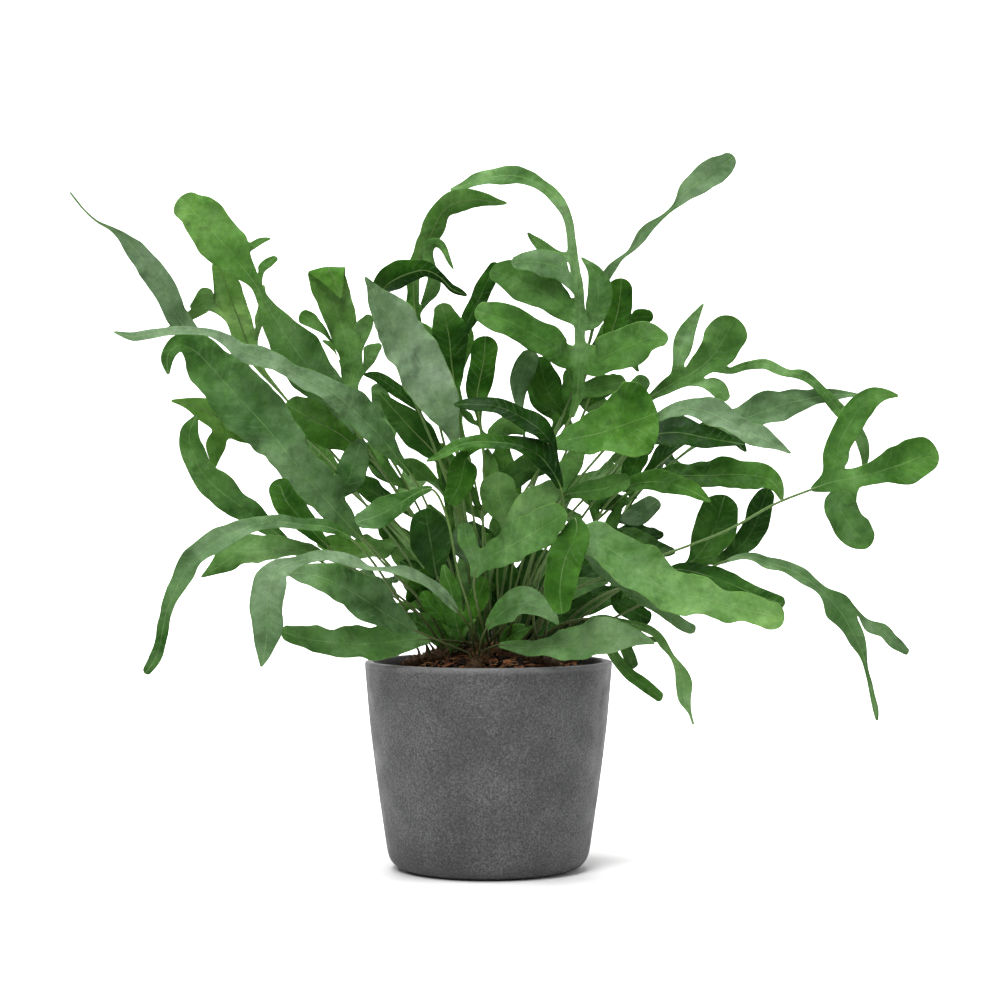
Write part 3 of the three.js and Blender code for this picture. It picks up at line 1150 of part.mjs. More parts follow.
// A closed rod of given half widths through points, its rings square to its heading.
function rod(points, sides) {
  const rings = points.map((p, i) => {
    const a = new THREE.Vector3(...points[Math.max(i - 1, 0)].slice(0, 3));
    const b = new THREE.Vector3(...points[Math.min(i + 1, points.length - 1)].slice(0, 3));
    const heading = b.sub(a).normalize();
    const side = new THREE.Vector3(0, 0, 1).cross(heading).normalize();
    const up = heading.clone().cross(side);
    const ring = [];
    for (let k = 0; k < sides; k++) {
      const turn = (2 * Math.PI * k) / sides;
      ring.push(new THREE.Vector3(...p.slice(0, 3)).addScaledVector(side, p[3] * Math.cos(turn))
        .addScaledVector(up, p[3] * Math.sin(turn)));
    }
    return ring;
  });
  const at = [];
  const corner = (v) => at.push(v.x, v.y, v.z);
  for (let i = 0; i < rings.length - 1; i++) {
    for (let k = 0; k < sides; k++) {
      const next = (k + 1) % sides;
      [rings[i][k], rings[i][next], rings[i + 1][next]].forEach(corner);
      [rings[i][k], rings[i + 1][next], rings[i + 1][k]].forEach(corner);
    }
  }
  for (let k = 1; k < sides - 1; k++) {
    [rings[0][0], rings[0][k + 1], rings[0][k]].forEach(corner);
    [rings.at(-1)[0], rings.at(-1)[k], rings.at(-1)[k + 1]].forEach(corner);
  }
  const geometry = new THREE.BufferGeometry();
  geometry.setAttribute("position", new THREE.Float32BufferAttribute(at, 3));
  return solidFrom(geometry);
}

// The arms with a plain hole for every stipe.
function rhizome(material) {
  let whole = rhizomeSolid(0);
  for (const { foot } of FRONDS) {
    const [x, y, z] = footOf(foot);
    const hole = new THREE.CylinderGeometry(HOLE_RADIUS, HOLE_RADIUS, 24, 4);
    hole.rotateX(Math.PI / 2);
    hole.translate(x, y, z - HOLE_DEPTH + 12);
    whole = whole.subtract(solidFrom(hole));
  }
  return meshFrom(whole, "rhizome", material);
}

// The soil fills the pot and carries the rhizome in a bed cut to its shape.
function soil(material) {
  const bottom = FLOOR_THICKNESS + CLEARANCE;
  const inner = (z) => innerRadius(z) - CLEARANCE;
  const side = [[0, bottom], [inner(10) - 9, bottom], [inner(17) - 5, 11], [inner(25) - 1, 25],
    [inner(96) - 0.7, 96], [inner(150) - 0.4, 150]];
  const top = [[SOIL_RADIUS, SOIL_EDGE]];
  for (const r of [70, 48, 26]) top.push([r, soilHeight(r)]);
  top.push([0, soilHeight(0)]);
  const whole = solidFrom(turned([...side, ...top], 28)).subtract(rhizomeSolid(CLEARANCE));
  return meshFrom(whole, "soil", material);
}

const clay = new THREE.MeshStandardMaterial({ color: 0x565658, roughness: 0.85, metalness: 0 });
const bark = new THREE.MeshStandardMaterial({ color: 0x3a1f12, roughness: 0.95, metalness: 0 });
const root = new THREE.MeshStandardMaterial({ color: 0x6b4423, roughness: 0.9, metalness: 0 });
const leaf = new THREE.MeshStandardMaterial({
  color: 0x5f8258,
  roughness: 0.6,
  metalness: 0,
  side: THREE.DoubleSide,
});

const group = new THREE.Group();
group.add(pot(clay), soil(bark), rhizome(root));
FRONDS.forEach((entry, index) => group.add(frond(entry, index * 1.3, leaf)));

export default group;
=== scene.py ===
"""A potted blue star fern. Sizes are written in millimetres and made in metres."""

import math
import random

import bmesh
import bpy
from mathutils import Euler, Matrix, Vector, noise


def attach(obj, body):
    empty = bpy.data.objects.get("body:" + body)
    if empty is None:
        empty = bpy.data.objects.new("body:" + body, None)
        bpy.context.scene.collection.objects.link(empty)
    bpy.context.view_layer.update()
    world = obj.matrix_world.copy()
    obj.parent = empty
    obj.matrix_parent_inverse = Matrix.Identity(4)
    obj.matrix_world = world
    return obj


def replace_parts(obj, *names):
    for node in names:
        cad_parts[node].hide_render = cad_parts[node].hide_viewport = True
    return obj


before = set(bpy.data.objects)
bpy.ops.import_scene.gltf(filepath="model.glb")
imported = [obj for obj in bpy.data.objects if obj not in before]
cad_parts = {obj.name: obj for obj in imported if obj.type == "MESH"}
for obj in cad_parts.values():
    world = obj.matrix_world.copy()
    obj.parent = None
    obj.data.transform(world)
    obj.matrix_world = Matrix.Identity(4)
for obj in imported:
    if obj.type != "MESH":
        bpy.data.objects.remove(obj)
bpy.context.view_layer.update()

# Camera.
# It looks level at the middle of the plant from two metres away, through a long lens.
camera = bpy.data.objects.new("camera", bpy.data.cameras.new("camera"))
camera.location = (0.0092, -2.0, 0.2946)
camera.rotation_euler = (math.radians(90), 0, 0)
camera.data.lens = 90
camera.data.sensor_width = 36
bpy.context.collection.objects.link(camera)
bpy.context.scene.camera = camera

# Pot.
# The real pot is cast from clay mixed with fibre: grey right through, matte, pitted and mottled.
# Its wall leans out to a soft rounded lip, and its foot rolls under to a flat bottom.
MM = 0.001
POT_HEIGHT = 166.5
POT_FOOT = [(0, 0), (40, 0), (60, 0)]
POT_SIDE = [(62, 0), (69, 1), (74.5, 3.5), (78.3, 7.5), (80.7, 13), (82.3, 24), (84.5, 38), (88, 62),
            (91.3, 87), (94.6, 112), (96.8, 138)]
POT_STEPS = 96
RIM_RADIUS = 99
OUTER_LIP = 2.6
INNER_LIP = 1.4
WALL = 6
FLOOR_THICKNESS = 7


def material(name):
    made = bpy.data.materials.new(name)
    made.use_nodes = True
    return made, made.node_tree, made.node_tree.nodes["Principled BSDF"]


def plug(tree, value, socket):
    """A link where the value comes from another node, a constant where it is a number or a colour."""
    if isinstance(value, bpy.types.NodeSocket):
        tree.links.new(value, socket)
    elif value is not None:
        socket.default_value = value


def node(tree, kind, **inputs):
    made = tree.nodes.new("ShaderNode" + kind)
    for name, value in inputs.items():
        plug(tree, value, made.inputs[name])
    return made


def place(tree, stretch=(1, 1, 1), uv=None):
    """The object's own coordinates in metres, or one of its UV maps, stretched."""
    if uv:
        source = node(tree, "UVMap")
        source.uv_map = uv
        spot = source.outputs["UV"]
    else:
        spot = node(tree, "TexCoord").outputs["Object"]
    return node(tree, "Mapping", Vector=spot, Scale=stretch).outputs["Vector"]


def grain(tree, at, scale, detail=3, roughness=0.5):
    return node(tree, "TexNoise", Vector=at, Scale=scale, Detail=detail, Roughness=roughness).outputs["Fac"]


def cells(tree, at, scale, feature="F1"):
    made = node(tree, "TexVoronoi", Vector=at, Scale=scale)
    made.feature = feature
    return made.outputs["Distance"]


def ramp(tree, factor, stops):
    """A value or colour that follows the factor through (position, grey or colour) stops."""
    made = node(tree, "ValToRGB", Fac=factor)
    line = made.color_ramp.elements
    while len(line) < len(stops):
        line.new(0.5)
    for element, (position, shade) in zip(line, stops):
        element.position = position
        element.color = (*shade, 1) if isinstance(shade, tuple) else (shade, shade, shade, 1)
    return made.outputs["Color"]


def blend(tree, factor, a, b, kind="MIX"):
    made = node(tree, "Mix")
    made.data_type = "RGBA"
    made.blend_type = kind
    plug(tree, factor, made.inputs["Factor"])
    for value, name in ((a, "A"), (b, "B")):
        socket = next(s for s in made.inputs if s.name == name and s.type == "RGBA")
        plug(tree, (*value, 1) if isinstance(value, tuple) else value, socket)
    return next(s for s in made.outputs if s.type == "RGBA")


def product(tree, a, b):
    return blend(tree, 1.0, a, b, "MULTIPLY")


def maths(tree, kind, *values):
    made = node(tree, "Math")
    made.operation = kind
    for value, socket in zip(values, made.inputs):
        plug(tree, value, socket)
    return made.outputs[0]


def laid_over(tree, colour, *layers):
    """A colour under thin layers of others, each as (mask, strength, colour)."""
    for mask, strength, tint in layers:
        colour = blend(tree, maths(tree, "MULTIPLY", mask, strength), colour, tint)
    return colour


def surface(tree, shader, colour, roughness, specular):
    for name, value in (("Base Color", colour), ("Roughness", roughness), ("Specular IOR Level", specular)):
        plug(tree, value, shader.inputs[name])


def bumps(tree, shader, *layers):
    """Heights laid over each other, each as (height, strength, distance in metres)."""
    normal = None
    for height, strength, distance in layers:
        made = node(tree, "Bump", Strength=strength, Distance=distance, Height=height, Normal=normal)
        normal = made.outputs["Normal"]
    tree.links.new(normal, shader.inputs["Normal"])


def part_of(tree, spot, axis):
    """One coordinate of a place, by its axis."""
    return node(tree, "SeparateXYZ", Vector=spot).outputs[axis]


def clay_fibre():
    """Clouded grey clay with sand grains, open pits, pale flecks and a paler band round the top of the lip."""
    made, tree, shader = material("clay_fibre")
    at = place(tree)
    clouds = ramp(tree, grain(tree, at, 22, 4, 0.55),
                  [(0.34, (0.036, 0.036, 0.037)), (0.66, (0.058, 0.058, 0.059))])
    sand = ramp(tree, grain(tree, at, 640, 4, 0.75), [(0.37, 0.4), (0.5, 1.0), (0.63, 1.8)])
    pits = product(tree, ramp(tree, cells(tree, at, 310), [(0.0, 1.0), (0.16, 1.0), (0.27, 0.0)]),
                   ramp(tree, grain(tree, at, 90), [(0.46, 0.0), (0.56, 1.0)]))
    flecks = product(tree, ramp(tree, cells(tree, at, 340), [(0.06, 1.0), (0.18, 0.0)]),
                     ramp(tree, grain(tree, at, 95), [(0.48, 0.0), (0.62, 1.0)]))
    lip = ramp(tree, maths(tree, "MULTIPLY", part_of(tree, at, "Z"), 5), [(0.806, 0.0), (0.822, 1.0)])
    colour = laid_over(tree, product(tree, clouds, sand), (pits, 0.7, (0.012, 0.012, 0.013)),
                       (flecks, 0.5, (0.24, 0.24, 0.242)), (lip, 0.3, (0.22, 0.22, 0.222)))
    surface(tree, shader, colour, ramp(tree, grain(tree, at, 60, 4), [(0.3, 0.46), (0.7, 0.66)]), 0.33)
    bumps(tree, shader, (grain(tree, at, 34), 0.3, 0.0014), (grain(tree, at, 520, 4, 0.7), 0.6, 0.0003),
          (ramp(tree, pits, [(0.0, 1.0), (1.0, 0.0)]), 0.6, 0.0004))
    return made


def finished(bm, name, body_material, smooth=True):
    """The mesh as an object of the scene, normals outward."""
    bmesh.ops.recalc_face_normals(bm, faces=bm.faces[:])
    return shown(bm, name, [body_material], smooth)


def shown(bm, name, materials, smooth=True):
    mesh = bpy.data.meshes.new(name)
    for face in bm.faces:
        face.smooth = smooth
    bm.to_mesh(mesh)
    bm.free()
    for each in materials:
        mesh.materials.append(each)
    made = bpy.data.objects.new(name, mesh)
    bpy.context.collection.objects.link(made)
    return made


def refined(made):
    modifier = made.modifiers.new("smooth", "SUBSURF")
    modifier.levels = modifier.render_levels = 1
    return made


def turned(bm, pairs, steps):
    """A solid turned about the upright axis from radius and height pairs in millimetres."""
    line = [bm.verts.new((r * MM, 0, z * MM)) for r, z in pairs]
    edges = [bm.edges.new(pair) for pair in zip(line, line[1:])]
    bmesh.ops.spin(bm, geom=line + edges, cent=(0, 0, 0), axis=(0, 0, 1), angle=math.tau, steps=steps,
                   use_merge=True)
    bmesh.ops.remove_doubles(bm, verts=bm.verts[:], dist=1e-6)


def corner(edge, radius, start, steps):
    """Radius and height pairs on a quarter circle that is rounded off at the top of the wall."""
    turns = [math.radians(start + 90 * k / steps) for k in range(steps + 1)]
    return [(edge + radius * math.cos(t), POT_HEIGHT - radius + radius * math.sin(t)) for t in turns]


def inner_radius(z):
    pairs = POT_SIDE + [(RIM_RADIUS, POT_HEIGHT)]
    i = 0
    while i < len(pairs) - 2 and z > pairs[i + 1][1]:
        i += 1
    (r0, z0), (r1, z1) = pairs[i], pairs[i + 1]
    return r0 + (r1 - r0) * (z - z0) / (z1 - z0) - WALL


def pot():
    lip = corner(RIM_RADIUS - OUTER_LIP, OUTER_LIP, 0, 4)
    inner_lip = corner(RIM_RADIUS - WALL + INNER_LIP, INNER_LIP, 90, 3)
    under_lip = [(RIM_RADIUS - 0.35, POT_HEIGHT - 7)]
    inside = [(inner_radius(z), z) for z in (150, 120, 96, 60, 25)]
    floor = [(inner_radius(17) - 4, 11), (inner_radius(10) - 8, FLOOR_THICKNESS), (0, FLOOR_THICKNESS)]
    bm = bmesh.new()
    turned(bm, POT_FOOT + POT_SIDE + under_lip + lip + inner_lip + inside + floor, POT_STEPS)
    made = refined(finished(bm, "pot_body", clay_fibre()))
    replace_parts(made, "pot")
    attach(made, "root")


pot()

# Soil.
# Loose orchid mix heaped in a low mound, 12 mm below the lip: red-brown bark chips, dark crumbs and coir.
# The chips and crumbs are coloured darker than the mix is, partly as painted shade from the fronds above.
# The chips lie on the mound at every turn and a little slanted, half sunk in the crumbs.
SOIL_EDGE = 154
SOIL_MOUND = 15
SOIL_RADIUS = 88
SOIL_STEPS = 120
CLEARANCE = 0.3
CHIPS = 1750
CHIP_LENGTH = (2.5, 8.5)
FIBRES = 420
FIBRE_LENGTH = (7, 17)


def soil_height(radius):
    return SOIL_EDGE + SOIL_MOUND * (1 - (radius / SOIL_RADIUS) ** 2)


def own_value(tree, name):
    """A value that the mesh itself holds at each of its points."""
    made = node(tree, "Attribute")
    made.attribute_name = name
    return made.outputs["Fac"]


def bark_mix():
    made, tree, shader = material("bark_mix")
    at = place(tree)
    # Chip tones run from near black to orange-brown; the darks are partly painted shade from the fronds above.
    chips = ramp(tree, own_value(tree, "tone"), [(0.0, (0.003, 0.002, 0.001)), (0.4, (0.009, 0.005, 0.003)),
                                                 (0.68, (0.055, 0.021, 0.009)), (0.88, (0.2, 0.075, 0.03)),
                                                 (1.0, (0.38, 0.23, 0.1))])
    fibres = ramp(tree, grain(tree, place(tree, (1, 1, 4)), 260, 5, 0.65), [(0.3, 0.45), (0.7, 1.5)])
    surface(tree, shader, product(tree, chips, fibres), 0.85, 0.1)
    bumps(tree, shader, (grain(tree, at, 420, 6, 0.7), 0.8, 0.0008), (grain(tree, at, 90), 0.5, 0.002))
    return made


def toned(bm, verts, tone):
    layer = bm.verts.layers.float["tone"]
    for v in verts:
        v[layer] = tone


def fitted(spot, turn, size):
    """The matrix that sizes, turns and moves a small piece to its place in metres."""
    return Matrix.LocRotScale(Vector(spot) * MM, turn, Vector(size) * MM)


def spot_on_mound(chance, reach):
    """A place drawn evenly over the mound within a reach of its middle."""
    out = reach * math.sqrt(chance.random())
    turn = chance.uniform(0, math.tau)
    return out * math.cos(turn), out * math.sin(turn), soil_height(out)


def bark_chips(bm, chance):
    for _ in range(CHIPS):
        x, y, ground = spot_on_mound(chance, 86)
        long = chance.uniform(*CHIP_LENGTH)
        spot = (x, y, ground + chance.uniform(-0.4, 2.6))
        turn = Euler((chance.gauss(0, 0.45), chance.gauss(0, 0.45), chance.uniform(0, math.tau)))
        size = (long, long * chance.uniform(0.35, 0.8), chance.uniform(0.8, 2.6))
        chip = bmesh.ops.create_cube(bm, size=1, matrix=fitted(spot, turn, size))["verts"]
        for v in chip:
            v.co += Vector((chance.gauss(0, 1), chance.gauss(0, 1), chance.gauss(0, 0.6))) * 0.0005
        toned(bm, chip, chance.betavariate(1.3, 1.9))


def coir_fibres(bm, chance):
    for _ in range(FIBRES):
        x, y, ground = spot_on_mound(chance, 84)
        spot = (x, y, ground + chance.uniform(1.4, 3.8))
        turn = Euler((math.pi / 2 + chance.gauss(0, 0.25), 0, chance.uniform(0, math.tau)))
        size = (0.9, 0.9, chance.uniform(*FIBRE_LENGTH))
        fibre = bmesh.ops.create_cone(bm, segments=4, radius1=0.35, radius2=0.12, depth=1, cap_ends=True,
                                      matrix=fitted(spot, turn, size))
        toned(bm, fibre["verts"], chance.uniform(0.75, 1.0))


def soil():
    bm = bmesh.new()
    bm.verts.layers.float.new("tone")
    bottom = FLOOR_THICKNESS + CLEARANCE
    side = [(0, bottom), (inner_radius(10) - 9, bottom), (inner_radius(17) - 5, 11), (inner_radius(25) - 1, 25),
            (inner_radius(96) - 0.7, 96), (inner_radius(150) - 0.4, 150)]
    top = [(SOIL_RADIUS, SOIL_EDGE)] + [(r, soil_height(r)) for r in range(84, 0, -3)] + [(0, soil_height(0))]
    turned(bm, side + top, SOIL_STEPS)
    for v in bm.verts:
        if v.co.z > (SOIL_EDGE - 2) * MM:
            v.co.z += 0.0022 * noise.noise(v.co * 130) + 0.001 * noise.noise(v.co * 420)
    # The crumbs between the chips are near black, partly painted shade.
    toned(bm, bm.verts, 0.08)
    chance = random.Random(4)
    bark_chips(bm, chance)
    coir_fibres(bm, chance)
    made = finished(bm, "soil_mix", bark_mix(), smooth=False)
    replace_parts(made, "soil")
    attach(made, "root")


soil()

# Rhizome.
# A knot of creeping stems as thick as a finger, covered in golden-brown scales like fur.
# It lies half bedded in the soil, and every frond's stipe stands up out of it.
ARM_ANGLES = [20, 80, 140, 200, 260, 320]
ARM_LENGTH = 66
ARM_RADIUS = 7.2
ARM_RISE = 3
ARM_STATIONS = 24
ARM_SIDES = 16
SCALES = 2600
SCALE_LENGTH = (2.2, 5.2)
UPWARD = Vector((0, 0, 1))


def scale_fur():
    made, tree, shader = material("scale_fur")
    at = place(tree)
    fur = ramp(tree, own_value(tree, "tone"), [(0.0, (0.012, 0.006, 0.003)), (0.4, (0.045, 0.022, 0.008)),
                                               (0.75, (0.16, 0.08, 0.027)), (1.0, (0.36, 0.22, 0.08))])
    dust = ramp(tree, grain(tree, at, 300, 4, 0.6), [(0.3, 0.6), (0.7, 1.35)])
    surface(tree, shader, product(tree, fur, dust), 0.7, 0.15)
    bumps(tree, shader, (grain(tree, at, 500, 5, 0.7), 0.7, 0.0006))
    return made


def beside_arm(degrees, out, aside):
    """A place on the rhizome, so far out along an arm and so far aside of its straight line."""
    angle = math.radians(degrees)
    return Vector((out * math.cos(angle) - aside * math.sin(angle),
                   out * math.sin(angle) + aside * math.cos(angle), soil_height(out) + ARM_RISE))


def arm_middle(degrees, out):
    return beside_arm(degrees, out, 0.6 * math.sin(out / ARM_LENGTH * 6.8 + degrees))


def ring_verts(bm, spot, heading, radius, sides, ripple=0.0):
    """A ring of points in metres round a place in millimetres, square to the heading."""
    turn = heading.to_track_quat("Z", "X")
    made = bmesh.ops.create_circle(bm, segments=sides, radius=radius * MM)["verts"]
    for v in made:
        v.co = turn @ v.co
        v.co *= 1 + ripple * noise.noise((v.co + spot * MM) * 160)
        v.co += spot * MM
    return made


def tube(bm, stations, sides, ripple=0.0):
    """A closed round stem through (place, heading, radius) stations, each ring bridged to the last."""
    before = []
    made = []
    for spot, heading, radius in stations:
        ring = ring_verts(bm, spot, heading, radius, sides, ripple)
        made += ring
        edges = [bm.edges.get((ring[k - 1], ring[k])) for k in range(sides)]
        if before:
            bmesh.ops.bridge_loops(bm, edges=before + edges)
        else:
            bmesh.ops.contextual_create(bm, geom=ring)
        before = edges
    bmesh.ops.contextual_create(bm, geom=ring)
    return made


def arm_tube(bm, degrees):
    stations = []
    for k in range(ARM_STATIONS):
        out = ARM_LENGTH * k / (ARM_STATIONS - 1)
        heading = (arm_middle(degrees, out + 1) - arm_middle(degrees, out - 1)).normalized()
        stations.append((arm_middle(degrees, out), heading, ARM_RADIUS - 0.6 * out / ARM_LENGTH))
    for beyond, radius in ((3, 5.2), (5, 2.4)):
        stations.append((arm_middle(degrees, ARM_LENGTH + beyond), heading, radius))
    return tube(bm, stations, ARM_SIDES, 0.25)


def fur_scale(bm, chance):
    """One scale on the skin of an arm, leaning outward and towards the arm's tip."""
    degrees = chance.choice(ARM_ANGLES)
    out = chance.uniform(-2, ARM_LENGTH + 5)
    forward = Vector((math.cos(math.radians(degrees)), math.sin(math.radians(degrees)), 0))
    across = Vector((-forward.y, forward.x, 0))
    round_arm = math.radians(chance.uniform(-10, 190))
    away = across * math.cos(round_arm) + UPWARD * math.sin(round_arm)
    lean = (away * chance.uniform(0.3, 0.9) + forward * chance.uniform(0.3, 1.1)
            + across * chance.uniform(-0.4, 0.4)).normalized()
    spot = arm_middle(degrees, max(out, 0)) + away * (ARM_RADIUS - 0.4 if out < ARM_LENGTH else 4.5)
    long = chance.uniform(*SCALE_LENGTH)
    at = fitted(spot + lean * long * 0.4, lean.to_track_quat("Z", "Y"), (0.55, 0.18, long))
    scale = bmesh.ops.create_cone(bm, segments=4, radius1=1, radius2=0.1, depth=1, cap_ends=True, matrix=at)
    toned(bm, scale["verts"], chance.uniform(0.35, 1.0))


def rhizome():
    bm = bmesh.new()
    bm.verts.layers.float.new("tone")
    knob = fitted((0, 0, soil_height(0) + ARM_RISE), None, (11, 11, 8))
    body = bmesh.ops.create_icosphere(bm, subdivisions=3, radius=1, matrix=knob)["verts"]
    for degrees in ARM_ANGLES:
        body += arm_tube(bm, degrees)
    toned(bm, body, 0.3)
    chance = random.Random(9)
    for _ in range(SCALES):
        fur_scale(bm, chance)
    made = finished(bm, "rhizome_fur", scale_fur())
    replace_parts(made, "rhizome")
    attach(made, "root")


rhizome()

# Fronds.
# Each frond is one leathery blade about half a millimetre thick, lobed or plain, on a thin stiff stipe.
# A pale rib runs along its underside; the upper face carries a grey-blue bloom, the underside is a clean green.
STIPE_HALF = 1.2
STIPE_SIDES = 6
STIPE_STEP = 8
STIPE_FOOT = ((-1, 1.9), (4, 1.7))
BEND_RISE = 9
RIB_TIP = 0.3
RIB_DEPTH = 0.35
FIRST_PLACE = 9
PLACE_STEP = 6
PLACE_SWAY = 3.4
BLADE_THICKNESS = 0.55
ROW_STEP = 5
ACROSS = (-1, -0.7, -0.36, 0, 0.36, 0.7, 1)
HEADING_SPAN = 0.8
UNFOLDING = 12
WIDEST_GAIN = 12
POINTED = 2
LONGEST_END = 12
LEAST_HALF = 0.7
LOBE_BLENDING = 12
BLADE_MARGIN = 0.9
BESIDE_BLADE = 6
TOUCH = 0.01
CUP = 0.2
WAVE = 0.2
LARGEST_WAVE = 3
EYE_DISTANCE = 2000
AXIS_SIDE = 10
EYE_HEIGHT = 300
GROUND = 7
